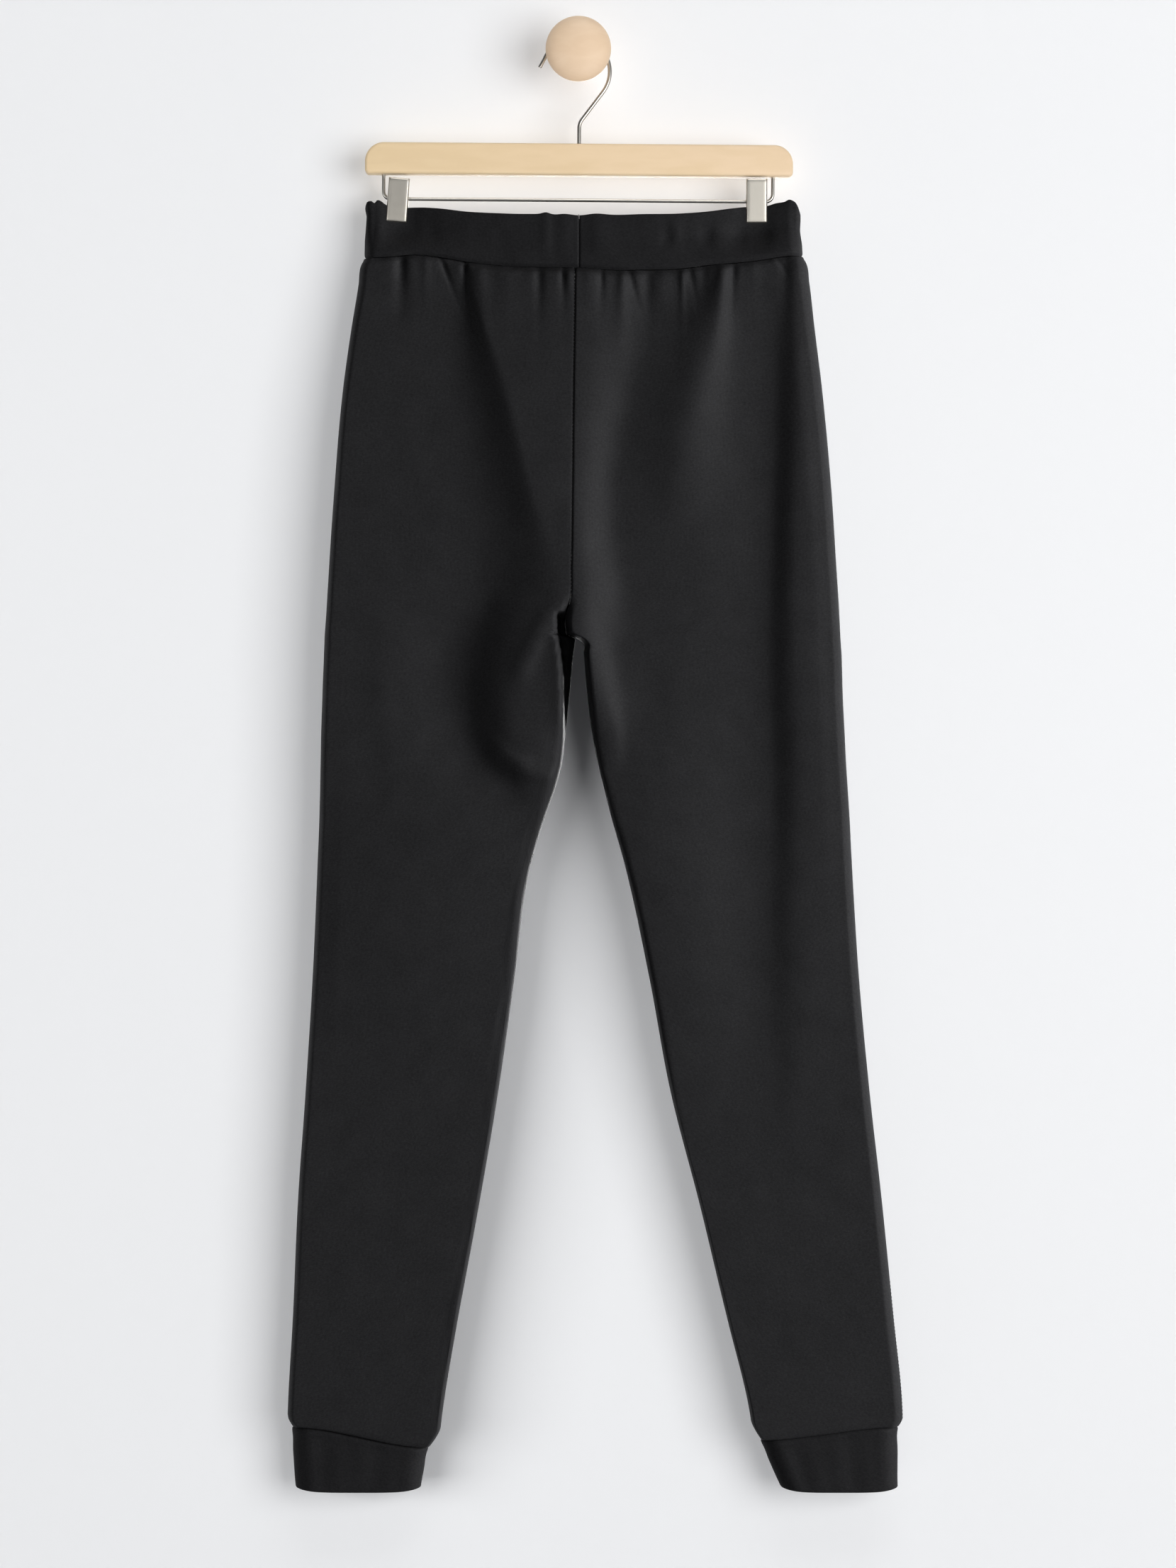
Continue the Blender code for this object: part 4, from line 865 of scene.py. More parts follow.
@dataclass
class Waistband:
    """The waistband: one doubled strip that runs round the waist and meets itself at the centre back."""

    wall: float = 0.0030
    seam_at: float = 0.0006
    seam_drop: float = 0.1630
    proud: float = 0.0014
    end_round: float = 0.0040
    closes_early: float = 1.6
    puff: float = 0.0009
    seam_depth: Point = (0.0005, 0.0007)
    lower_inset: Point = (0.0014, 0.0016)  # The turn at its lower edge, with its width.
    fades: Point = (0.010, 0.012)  # Distances from an end where puff and ripples are full.
    swells: tuple[Swell, ...] = (Swell(0.00030, 0.022, 21), Swell(0.00012, 0.008, 22))
    swell_fades: Triple = (0.004, 0.004, 0.006)  # From the top, the lower edge and the ends.
    spacing: float = 0.0017
    measured_at: float = 0.8
    samples: int = 900
    seam_ladder: tuple[float, ...] = (0.0, 0.0003, 0.0007, 0.0012, 0.0018, 0.0026)
    seam_free: float = 0.0036
    left_end: tuple[Point, ...] = (
        (0.0, -0.1690), (0.35, -0.1687), (0.60, -0.1679), (0.75, -0.1674), (1.0, -0.1689)
    )
    right_end: tuple[Point, ...] = (
        (0.0, 0.1776), (0.35, 0.1768), (0.60, 0.1755), (0.80, 0.1757), (1.0, 0.1757)
    )
    heights: tuple[float, ...] = (
        0.0, 0.006, 0.016, 0.028, 0.045, 0.07, 0.11, 0.16, 0.22, 0.28, 0.34, 0.40, 0.46, 0.52, 0.58,
        0.64, 0.70, 0.76, 0.82, 0.87, 0.91, 0.94, 0.962, 0.978, 0.989, 0.996, 1.0,
    )
    flat_row: int = 2
    paths: dict[str, SeamPath] = field(default_factory=dict)

    def surface(self, side: Side, face: Face, share: Array, height: Array) -> Array:
        """The outer surface.

        Args:
            side: Which half.
            face: Which face.
            share: Place across, from the side, 0, to the centre seam, 1.
            height: Place up, from the waist seam, 0, to the top edge, 1.
        Returns:
            Points of the shape of share and height.
        """
        end = broken_line(self.left_end if side is Side.LEFT else self.right_end, height)
        centre = self.seam_at + (-SEAM_GAP / 2 if side is Side.LEFT else SEAM_GAP / 2)
        x = end + (centre - end) * share
        from_end = np.abs(x - end)
        turn = SECTIONS.read(f"{side.value}_round", self.seam_drop) + self.proud
        at_seam = SECTIONS.read(face.value, self.seam_drop) * rounded(from_end, turn) + self.proud
        at_seam = at_seam * rounded(from_end, self.end_round)
        at_top = BAND_EDGES.read("stand_off", x) * rounded(from_end, self.end_round)
        off = at_seam + (at_top - at_seam) * ease(height * self.closes_early)
        seam, top = BAND_EDGES.read("seam", x), BAND_EDGES.read("top", x)
        drop = seam + (top - seam) * height
        ripples = sum(fold.lift(x, drop) for fold in BAND_FOLDS)
        puff = self.puff * np.sin(math.pi * height) * ease(from_end / self.fades[0])
        off = off + (ripples + puff) * ease(from_end / self.fades[1])
        return np.stack([x, MIDDLE_Y + face.away * off, -(drop - SEAM_GAP / 2)], axis=-1)

    def shares(self, side: Side, face: Face) -> Array:
        """Shares of one quarter's columns, from the side to the centre, evenly spaced over the cloth."""
        fine = crowded(self.samples)
        curve = self.surface(side, face, fine[None, :], np.full((1, len(fine)), self.measured_at))
        run = arc_lengths(curve, 1)[0]
        even = np.linspace(0, run[-1] - self.seam_free, round(run[-1] / self.spacing))
        return np.interp(np.concatenate([even, run[-1] - self.seam_ladder[::-1]]), run, fine)

    def grid(self) -> Array:
        """The outer surface of the whole strip, from the centre back round to the centre back."""
        heights = np.array(self.heights)[:, None]
        quarters = []
        for side, face in ((Side.LEFT, Face.BACK), (Side.LEFT, Face.FRONT), (Side.RIGHT, Face.FRONT),
                           (Side.RIGHT, Face.BACK)):
            shares = self.shares(side, face)
            if (side is Side.LEFT) is (face is Face.BACK):
                shares = shares[::-1]
            if quarters:
                shares = shares[1:]
            quarters.append(self.surface(side, face, shares + 0 * heights, heights + 0 * shares))
        return np.concatenate(quarters, axis=1)

    def build(self, finish: Material) -> Thing:
        """Args:
            finish: The cloth's material.
        Returns:
            The new piece.
        """
        base = self.grid()
        normals = inward_normals(base, level=True)
        run, rise = arc_lengths(base, 1), arc_lengths(base, 0)
        from_top, from_ends = rise[-1:] - rise, np.minimum(run, run[:, -1:] - run)
        at_top = fold_inset(from_top, self.wall)
        at_seam = self.lower_inset[0] * bell(rise, self.lower_inset[1])
        seam = self.seam_depth[0] * bell(from_ends, self.seam_depth[1])
        uneven = sum(swell.over(run, rise) for swell in self.swells)
        for distance, fade in zip((from_top, rise, from_ends), self.swell_fades):
            uneven = uneven * ease(distance / fade)
        outer = base + (at_top + at_seam + seam - uneven)[..., None] * normals
        inner = base + (self.wall - at_top)[..., None] * normals
        self.paths = {"seam": SeamPath(outer[1], -normals[1]), "end": SeamPath(outer[:, 0], -normals[:, 0])}
        mesh = cloth_wall("waistband", outer, inner, np.stack([run, rise], axis=-1))
        piece = Piece.add("waistband_strip", mesh, finish, "band_knit", "waistband")
        return piece


@dataclass
class Cuff:
    """A cuff: a doubled strip sewn into a tube and folded at the bottom."""

    side: Side
    left_edge: Point
    right_edge: Point
    wall: float = 0.0026
    hem: float = 1.0850
    bottom: float = 1.1374
    depth: Point = (0.0122, 0.0098)
    corner: float = 0.017
    corner_lift: float = 0.0030
    seam_gap: float = 0.00045
    upper_inset: Point = (0.0013, 0.0014)
    hollow: Triple = (0.0006, 0.009, 0.006)  # Depth, distance from the seam and width.
    waves: tuple[Triple, Triple] = ((0.00028, 5, 0.8), (0.00016, 11, 2.1))  # Height, number and phase.
    wave_fades: Triple = (0.01, 0.003, 0.006)  # The first waves from the fold, then all from it and the seam.
    downs: tuple[float, ...] = (
        0.0, 0.006, 0.015, 0.028, 0.045, 0.07, 0.11, 0.17, 0.24, 0.32, 0.40, 0.48, 0.56, 0.64, 0.72,
        0.79, 0.85, 0.90, 0.935, 0.96, 0.978, 0.99, 0.997, 1.0,
    )
    half_columns: int = 72
    crowding: float = 0.7
    path: SeamPath | None = None

    def surface(self, face: Face, share: Array, down: Array) -> Array:
        """The outer surface.

        Args:
            face: Which face.
            share: Place across the leg, from left, 0, to right, 1.
            down: Place down, from the seam, 0, to the fold, 1.
        Returns:
            Points of the shape of share and down.
        """
        left, right, depth = (
            first + (last - first) * down for first, last in (self.left_edge, self.right_edge, self.depth)
        )
        x = left + (right - left) * share
        off = depth * rounded(np.abs(x - left), self.corner) * rounded(np.abs(right - x), self.corner)
        inner_share = share if self.side is Side.LEFT else 1 - share
        seam = self.hem + LEG_ENDS[self.side].slant * ease(inner_share) + self.seam_gap
        bottom = self.bottom - self.corner_lift * np.abs(2 * share - 1) ** 4
        return np.stack([x, MIDDLE_Y + face.away * off, -(seam + (bottom - seam) * down)], axis=-1)

    def uneven(self, phase: Array, to_seam: Array, to_fold: Array) -> Array:
        """Heights of the waves at phases round the cuff and at distances from its seam and fold."""
        first, second = (size * np.sin(count * phase + start) for size, count, start in self.waves)
        at_first, at_fold, at_seam = self.wave_fades
        waves = first * ease(to_fold / at_first) + second
        return waves * ease(to_seam / at_seam) * ease(to_fold / at_fold)

    def build(self, finish: Material) -> Thing:
        """Args:
            finish: The cloth's material.
        Returns:
            The new piece.
        """
        even = np.linspace(0.0, 1.0, self.half_columns)
        even = self.crowding * crowded(self.half_columns) + (1 - self.crowding) * even
        down = np.array(self.downs)[:, None]
        faces = ((Face.BACK, even), (Face.FRONT, even[::-1][1:-1]))
        grids = [self.surface(face, at + 0 * down, down + 0 * at) for face, at in faces]
        base = np.concatenate(grids, axis=1)
        normals = inward_normals(base, closed=True, level=True)
        looped = np.concatenate([base, base[:, :1]], axis=1)
        run, rise = arc_lengths(looped, 1), arc_lengths(looped, 0)
        to_fold, to_seam = (rise[-1:] - rise)[:, :-1], rise[:, :-1]
        at_fold = fold_inset(to_fold, self.wall)
        at_seam = self.upper_inset[0] * bell(to_seam, self.upper_inset[1])
        depth, below, width = self.hollow
        hollow = depth * bell(to_seam - below, width)
        uneven = self.uneven(2 * math.pi * run[:, :-1] / run[:, -1:], to_seam, to_fold)
        outer = base + (at_fold + at_seam + hollow - uneven)[..., None] * normals
        inner = base + (self.wall - at_fold)[..., None] * normals
        self.path = SeamPath(outer[1], -normals[1])
        name = f"cuff_{self.side.value}"
        mesh = cloth_wall(name, outer, inner, np.stack([run, rise], axis=-1), closed=True)
        piece = Piece.add(name + "_tube", mesh, finish, "band_knit", name)
        return piece


# Repeated stitches, made by Geometry Nodes


class StitchTree:
    """A Geometry Nodes tree that lays short arched stitches along the edges of a mesh."""

    def __init__(self, name: str) -> None:
        """Builds the tree, with its named inputs."""
        self.tree = bpy.data.node_groups.new(name, "GeometryNodeTree")
        self.sockets: dict[str, str] = {}
        side = self.tree.interface
        side.new_socket("Path", in_out="INPUT", socket_type="NodeSocketGeometry")
        defaults = {"Pitch": 0.003, "Stitch Length": 0.0022, "Thread": 0.0003, "Arch": 0.0003}
        for label, default in defaults.items():
            entry = side.new_socket(label, in_out="INPUT", socket_type="NodeSocketFloat")
            entry.default_value = default
            self.sockets[label] = entry.identifier
        entry = side.new_socket("Finish", in_out="INPUT", socket_type="NodeSocketMaterial")
        self.sockets["Finish"] = entry.identifier
        side.new_socket("Stitches", in_out="OUTPUT", socket_type="NodeSocketGeometry")
        self._wire()

    def _node(self, kind: str, links: dict[Any, Any], **settings: str) -> bpy.types.NodeSocket:
        """Adds a node with a value or an output socket for each input, and gives its first output."""
        made = self.tree.nodes.new(kind)
        for name, value in settings.items():
            setattr(made, name, value)
        for name, value in links.items():
            if isinstance(value, bpy.types.NodeSocket):
                self.tree.links.new(value, made.inputs[name])
            else:
                made.inputs[name].default_value = value
        return made.outputs[0]

    def _times(self, socket: bpy.types.NodeSocket, factor: float) -> bpy.types.NodeSocket:
        """A value multiplied by a number."""
        return self._node("ShaderNodeMath", {0: socket, 1: factor}, operation="MULTIPLY")

    def _wire(self) -> None:
        """Wires the stitch, its places along the seam and its turn."""
        given = self.tree.nodes.new("NodeGroupInput").outputs
        half = self._times(given["Stitch Length"], 0.5)
        start, top, end = (
            self._node("ShaderNodeCombineXYZ", {axis: value})
            for axis, value in (("X", self._times(half, -1.0)), ("Z", given["Arch"]), ("X", half))
        )
        arch = {"Resolution": 4, "Start": start, "Middle": top, "End": end}
        profile = {"Resolution": 5, "Radius": self._times(given["Thread"], 0.5)}
        stitch = self._node("GeometryNodeCurveToMesh", {
            "Curve": self._node("GeometryNodeCurveQuadraticBezier", arch),
            "Profile Curve": self._node("GeometryNodeCurvePrimitiveCircle", profile),
            "Fill Caps": True,
        })
        line = self._node("GeometryNodeMeshToCurve", {"Mesh": given["Path"]})
        spaced = self._node("GeometryNodeResampleCurve", {"Curve": line, "Length": given["Pitch"]},
                            mode="LENGTH")
        tangent = self._node("GeometryNodeInputTangent", {})
        outward = self._node("GeometryNodeInputNamedAttribute", {"Name": "outward"}, data_type="FLOAT_VECTOR")
        along = self._node("FunctionNodeAlignRotationToVector", {"Vector": tangent}, axis="X")
        turned = self._node("FunctionNodeAlignRotationToVector", {"Rotation": along, "Vector": outward},
                            axis="Z", pivot_axis="X")
        placed = self._node("GeometryNodeInstanceOnPoints",
                            {"Points": spaced, "Instance": stitch, "Rotation": turned})
        real = self._node("GeometryNodeRealizeInstances", {"Geometry": placed})
        dressed = self._node("GeometryNodeSetMaterial", {"Geometry": real, "Material": given["Finish"]})
        self.tree.links.new(dressed, self.tree.nodes.new("NodeGroupOutput").inputs[0])


@dataclass
class Seams:
    """The lines of stitches that join the pieces of cloth."""

    pitch: float = 0.0030
    length: float = 0.0021
    thread: float = 0.00030
    arch: float = 0.0004
    sunk: float = 0.0001

    def build(self, name: str, paths: Sequence[SeamPath], tree: StitchTree,
              finish: Material) -> Thing:
        """Makes the stitches of several seams as one piece.

        Args:
            name: The piece's name.
            paths: The seams.
            tree: The node tree that lays them.
            finish: The thread's material.
        Returns:
            The new piece.
        """
        points, edges, outward = [], [], []
        for path in paths:
            start = len(points)
            points += list(path.points - self.sunk * path.outward)
            outward += list(path.outward)
            edges += [(start + i, start + i + 1) for i in range(len(path.points) - 1)]
        guide_mesh = bpy.data.meshes.new(name + "_guide")
        guide_mesh.from_pydata([tuple(p) for p in points], edges, [])
        layer = guide_mesh.attributes.new("outward", "FLOAT_VECTOR", "POINT")
        layer.data.foreach_set("vector", np.array(outward, np.float32).ravel())
        guide = bpy.data.objects.new(name + "_guide", guide_mesh)
        bpy.context.scene.collection.objects.link(guide)
        nodes = guide.modifiers.new("stitches", "NODES")
        nodes.node_group = tree.tree
        inputs = {"Pitch": self.pitch, "Stitch Length": self.length, "Thread": self.thread,
                  "Arch": self.arch, "Finish": finish}
        for label, value in inputs.items():
            nodes[tree.sockets[label]] = value
        bpy.context.view_layer.update()
        graph = bpy.context.evaluated_depsgraph_get()
        mesh = bpy.data.meshes.new_from_object(guide.evaluated_get(graph))
        bpy.data.objects.remove(guide)
        mesh.name = name
        mesh.shade_smooth()
        return Piece.add(name, mesh, finish, "knit")


# Rigid pieces


def arc(centre: Point, radius: float, start: float, end: float, steps: int) -> list[Point]:
    """Points along an arc from one angle to another, in degrees, in a number of spans."""
    angles = [math.radians(start + (end - start) * i / steps) for i in range(steps + 1)]
    return [(centre[0] + radius * math.cos(a), centre[1] + radius * math.sin(a)) for a in angles]


@dataclass(frozen=True)
class Wire:
    """A round wire with slightly rounded ends, bent in the plane y = 0 of the hanger."""

    diameter: float
    sides: int
    end_length: float = 0.30
    end_inset: float = 0.28
    end_rings: int = 3
    sharp: float = 50

    def swept(self, name: str, path: Sequence[Point], place: Matrix) -> Mesh:
        """Sweeps the wire along points given as x and z, in the hanger's place."""
        line, radius = np.array([(x, 0.0, z) for x, z in path]), self.diameter / 2
        tangents, square = unit(np.gradient(line, axis=0)), np.array((0.0, 1.0, 0.0))
        across = np.cross(tangents, square)
        ends = []
        for end, step in ((0, -1.0), (-1, 1.0)):
            turns = [math.pi / 2 * i / self.end_rings for i in range(1, self.end_rings + 1)]
            ends.append([
                (line[end] + step * radius * self.end_length * math.sin(a) * tangents[end], across[end],
                 radius * (1 - self.end_inset + self.end_inset * math.cos(a)))
                for a in turns
            ])
        rings = ends[0][::-1] + [(spot, side, radius) for spot, side in zip(line, across)] + ends[1]
        shape = bmesh.new()
        loops = []
        for centre, side, size in rings:
            turns = [2 * math.pi * i / self.sides for i in range(self.sides)]
            spots = [centre + size * (math.cos(a) * side + math.sin(a) * square) for a in turns]
            loops.append([shape.verts.new(place @ Vector(spot)) for spot in spots])
        join_loops(shape, loops)
        shape.faces.new(loops[0][::-1])
        shape.faces.new(loops[-1])
        return finished(shape, bpy.data.meshes.new(name), self.sharp)


def join_loops(shape: bmesh.types.BMesh, loops: Sequence[Sequence[bmesh.types.BMVert]]) -> None:
    """Joins each closed loop of vertices to the next; a loop of one vertex is a tip."""
    for one, two in zip(loops[:-1], loops[1:]):
        count = max(len(one), len(two))
        for i in range(count):
            j = (i + 1) % count
            if len(one) == 1:
                shape.faces.new((one[0], two[i], two[j]))
            elif len(two) == 1:
                shape.faces.new((one[i], one[j], two[0]))
            else:
                shape.faces.new((one[i], one[j], two[j], two[i]))


@dataclass
class Hanger:
    """The wooden bar, its hook and the rail that carries the clips."""

    tilt: float = math.radians(0.45)
    bar_width: float = 0.3380
    bar_top: float = 0.0728
    bar_height: float = 0.0250
    bar_thickness: float = 0.0135
    bar_centre: float = 0.0012
    top_round: float = 0.0150
    bottom_round: float = 0.0035
    round_steps: tuple[int, int] = (20, 8)
    edge: float = 0.0024
    edge_steps: int = 5
    bar_sharp: float = 35
    wire: Wire = Wire(0.0033, 20)
    hook_radius: float = 0.0268
    hook_steps: int = 64
    hook_centre: float = -0.0018
    hook_end: float = 158
    hook_tip: Point = (0.0036, 0.0068)
    stem_x: float = 0.0011
    stem_top: float = 0.0600
    stem_rows: int = 9
    stem_step: float = 0.0022
    swing_radius: float = 0.0117
    swing_steps: int = 10
    swing_turn: float = 38
    hook_deep: float = 0.0100
    rail_wire: Wire = Wire(0.0028, 16)
    rail_x: Point = (-0.1532, 0.1546)
    rail_drop: float = 0.1170
    rail_steps: int = 40
    rail_bend: float = 0.0058
    bend_steps: int = 12
    rail_deep: float = 0.0080
    rail_falls: tuple[float, ...] = (0.0, 0.2, 0.4, 0.6, 0.8, 0.95)

    @property
    def place(self) -> Matrix:
        """Where the hanger's plane lies."""
        return Matrix.Translation((0.0, MIDDLE_Y, 0.0)) @ Matrix.Rotation(self.tilt, 4, "Y")

    def bar(self, finish: Material) -> Thing:
        """Makes the bar, with rounded corners and softened edges."""
        left, right = self.bar_centre - self.bar_width / 2, self.bar_centre + self.bar_width / 2
        top, bottom = -self.bar_top, -self.bar_top - self.bar_height
        big, small = self.top_round, self.bottom_round
        many, few = self.round_steps
        outline = (
            arc((right - big, top - big), big, 0, 90, many)
            + arc((left + big, top - big), big, 90, 180, many)
            + arc((left + small, bottom + small), small, 180, 270, few)
            + arc((right - small, bottom + small), small, 270, 360, few)
        )
        shape = bmesh.new()
        corners = [shape.verts.new((x, -self.bar_thickness / 2, z)) for x, z in outline]
        grown = bmesh.ops.extrude_face_region(shape, geom=[shape.faces.new(corners)])
        moved = [part for part in grown["geom"] if isinstance(part, bmesh.types.BMVert)]
        bmesh.ops.translate(shape, verts=moved, vec=(0.0, self.bar_thickness, 0.0))
        rims = [e for e in shape.edges if abs(e.verts[0].co.y - e.verts[1].co.y) < 1e-6]
        bmesh.ops.bevel(shape, geom=rims, offset=self.edge, segments=self.edge_steps, profile=0.5,
                        affect="EDGES", clamp_overlap=True)
        bmesh.ops.transform(shape, matrix=self.place, verts=shape.verts)
        mesh = finished(shape, bpy.data.meshes.new("hanger_bar"), self.bar_sharp)
        return Piece.add("maple_bar", mesh, finish, "maple", "hanger_bar")

    def hook(self, finish: Material) -> Thing:
        """Makes the hook: out of the bar, round to the right, over the knob's neck and down to its tip."""
        reach = self.hook_radius - self.wire.diameter / 2 - KNOB_NECK - SEAM_GAP
        centre = (self.hook_centre, -math.sqrt(reach**2 - self.hook_centre**2))
        foot = -self.bar_top - self.hook_deep
        stem = [(self.stem_x, foot + i * self.stem_step) for i in range(self.stem_rows)]
        stem.append((self.stem_x, -self.stem_top))
        swing = (self.stem_x + self.swing_radius, -self.stem_top)
        lower = arc(swing, self.swing_radius, 180, 180 - self.swing_turn, self.swing_steps)[1:]
        upper = arc(centre, self.hook_radius, -self.swing_turn, self.hook_end, self.hook_steps)
        end = (upper[-1][0] - self.hook_tip[0], upper[-1][1] - self.hook_tip[1])
        join = between(lower[-1], upper[0], (0.2, 0.4, 0.6, 0.8))
        tip = between(upper[-1], end, (0.25, 0.5, 0.75, 1.0))
        mesh = self.wire.swept("hook", stem + lower + join + upper + tip, self.place)
        return Piece.add("hook_wire", mesh, finish, "steel", "hook")

    def rail(self, finish: Material) -> Thing:
        """Makes the rail: a wire bent up at both ends into the underside of the bar."""
        left, right = self.rail_x
        top = -self.bar_top - self.bar_height + self.rail_deep
        low, bend = -self.rail_drop, self.rail_bend
        run = [i / self.rail_steps for i in range(1, self.rail_steps)]
        points = (
            between((left, top), (left, low + bend), self.rail_falls)
            + arc((left + bend, low + bend), bend, 180, 270, self.bend_steps)
            + between((left + bend, low), (right - bend, low), run)
            + arc((right - bend, low + bend), bend, 270, 360, self.bend_steps)
            + between((right, top), (right, low + bend), self.rail_falls[::-1])
        )
        mesh = self.rail_wire.swept("clip_rail", points, self.place)
        return Piece.add("rail_wire", mesh, finish, "steel", "clip_rail")


@dataclass
class Clip:
    """A sprung clip of two jaws, each a plate folded back at both sides into ears round the rail."""

    side: Side
    x: float
    drop: float
    turn: float
    width: float = 0.0166
    sheet: float = 0.0009
    half_height: float = 0.0172
    grip: float = 0.0042
    lip: float = 0.0016
    splay: float = 0.0095
    flange: float = 0.0040
    ear: float = 0.0030
    ear_low: float = 0.0032
    ear_high: float = 0.0060
    bend: float = 0.0017
    bend_steps: int = 6
    edge_round: float = 0.0014
    end_rows: tuple[float, ...] = (1.0, 0.985, 0.96, 0.92)
    rows: tuple[tuple[float, ...], ...] = (  # Below the ears, along them and above them.
        (-0.012, -0.008, -0.005), (-0.0015, 0.0015), (0.008, 0.011, 0.014)
    )
    ear_step: float = 0.00012
    slope_row: float = 0.0046
    sharp: float = 40

    def flange_edge(self, z: float) -> float:
        """How far off the middle plane the rear edge of a side flange lies at height z."""
        if z < -self.ear_low:
            return self.grip
        if z <= self.ear_low:
            return -self.ear
        t = min((z - self.ear_low) / (self.ear_high - self.ear_low), 1.0)
        return -self.ear + (self.splay - self.flange + self.ear) * t

    def section(self, z: float, half: float, skin: float) -> list[Point]:
        """The folded sheet's section at height z, as places across and off the middle plane.

        Args:
            z: Height.
            half: Half of the jaw's width.
            skin: Distance of this surface inside the outer one.
        Returns:
            Points from one rear edge round to the other.
        """
        low, high = -self.half_height, self.half_height
        front = self.grip + self.lip + (self.splay - self.grip - self.lip) * (z - low) / (high - low)
        turn = self.edge_round
        for gap in (z - low, high - z):
            front -= turn - math.sqrt(max(turn**2 - max(turn - gap, 0.0) ** 2, 0.0))
        front -= skin
        radius, edge = self.bend - skin, min(self.flange_edge(z), front - self.bend)
        corner = (half - skin - radius, front - radius)
        right = (
            between((half - skin, corner[1]), (half - skin, edge), (1.0, 0.5))
            + arc(corner, radius, 0, 90, self.bend_steps)
            + between((corner[0], front), (0.0, front), (0.25, 0.5, 0.75, 1.0))
        )
        return right[:-1] + [(-x, off) for x, off in right[::-1]]

    def jaw(self, name: str, toward_viewer: bool, finish: Material) -> Thing:
        """Makes one jaw.

        Args:
            name: The piece's name.
            toward_viewer: True for the jaw on the viewer's side.
            finish: Its material.
        Returns:
            The new piece.
        """
        half = self.width / 2 - (0.0 if toward_viewer else self.sheet + SEAM_GAP)
        ends = [self.half_height * share for share in self.end_rows]
        below, along, above = self.rows
        low, high = self.ear_low, self.ear_high
        ear = [-low - self.ear_step, -low, *along, low, self.slope_row, high]
        heights = [*(-z for z in ends), *below, *ear, *above, *ends[::-1]]
        away = -1.0 if toward_viewer else 1.0
        place = Matrix.Translation((self.x, MIDDLE_Y, -self.drop)) @ Matrix.Rotation(self.turn, 4, "Y")
        outer, inner = (
            np.array([
                [place @ Vector((x, away * off, z)) for x, off in self.section(z, half, skin)]
                for z in heights
            ])
            for skin in (0.0, self.sheet)
        )
        mesh = cloth_wall(name, outer, inner, np.zeros((*outer.shape[:2], 2)))
        mesh.set_sharp_from_angle(angle=math.radians(self.sharp))
        return Piece.add(name + "_jaw", mesh, finish, "steel", name)

    def build(self, finish: Material) -> list[Thing]:
        """Makes both jaws."""
        names = [f"clip_{self.side.value}_front", f"clip_{self.side.value}_back"]
        return [self.jaw(name, name.endswith("front"), finish) for name in names]


@dataclass
class Knob:
    """The wall knob: a neck and a domed head, turned about the Y axis."""

    head_radius: float = 0.0258
    neck_length: float = 0.0385
    neck_rows: int = 8
    foot_edge: float = 0.0006
    rim: float = 0.0475
    dome: float = 0.0590
    under_power: float = 0.9
    under_steps: int = 12
    crown_steps: int = 24
    segments: int = 96
    sharp: float = 40

    def profile(self) -> list[Point]:
        """The turned outline, as distance off the wall and radius."""
        edge, head = self.foot_edge, self.head_radius
        rows = [i / self.neck_rows for i in range(self.neck_rows + 1)]
        foot = [(0.0, 0.0), (0.0, KNOB_NECK - edge), (edge / 3, KNOB_NECK - edge / 3)]
        under, crown = (
            [math.pi / 2 * i / steps for i in range(1, steps + 1)]
            for steps in (self.under_steps, self.crown_steps)
        )
        return (
            foot
            + between((edge, KNOB_NECK), (self.neck_length, KNOB_NECK), rows)
            + [(self.neck_length + (self.rim - self.neck_length) * (1 - math.cos(a)),
                KNOB_NECK + (head - KNOB_NECK) * math.sin(a) ** self.under_power) for a in under]
            + [(self.rim + (self.dome - self.rim) * math.sin(a), head * math.cos(a)) for a in crown[:-1]]
            + [(self.dome, 0.0)]
        )

    def build(self, finish: Material) -> Thing:
        """Makes the knob."""
        shape = bmesh.new()
        turns = [2 * math.pi * i / self.segments for i in range(self.segments)]
        rings = []
        for off, radius in self.profile():
            spots = [(radius * math.cos(a), -off, radius * math.sin(a)) for a in turns]
            rings.append([shape.verts.new(spot) for spot in (spots if radius else spots[:1])])
        join_loops(shape, rings)
        mesh = finished(shape, bpy.data.meshes.new("knob"), self.sharp)
        return Piece.add("turned_knob", mesh, finish, "beech", "knob")


# Finishes


def operator(operation: str, swapped: bool = False) -> Callable[..., "Socket"]:
    """A method of Socket for an operation on itself and another term, if any, or the other way round."""

    def method(self: "Socket", *other: "Socket | float") -> "Socket":
        """Adds the operation's Math node."""
        return self._math(operation, *((*other, self) if swapped else (self, *other)))

    return method


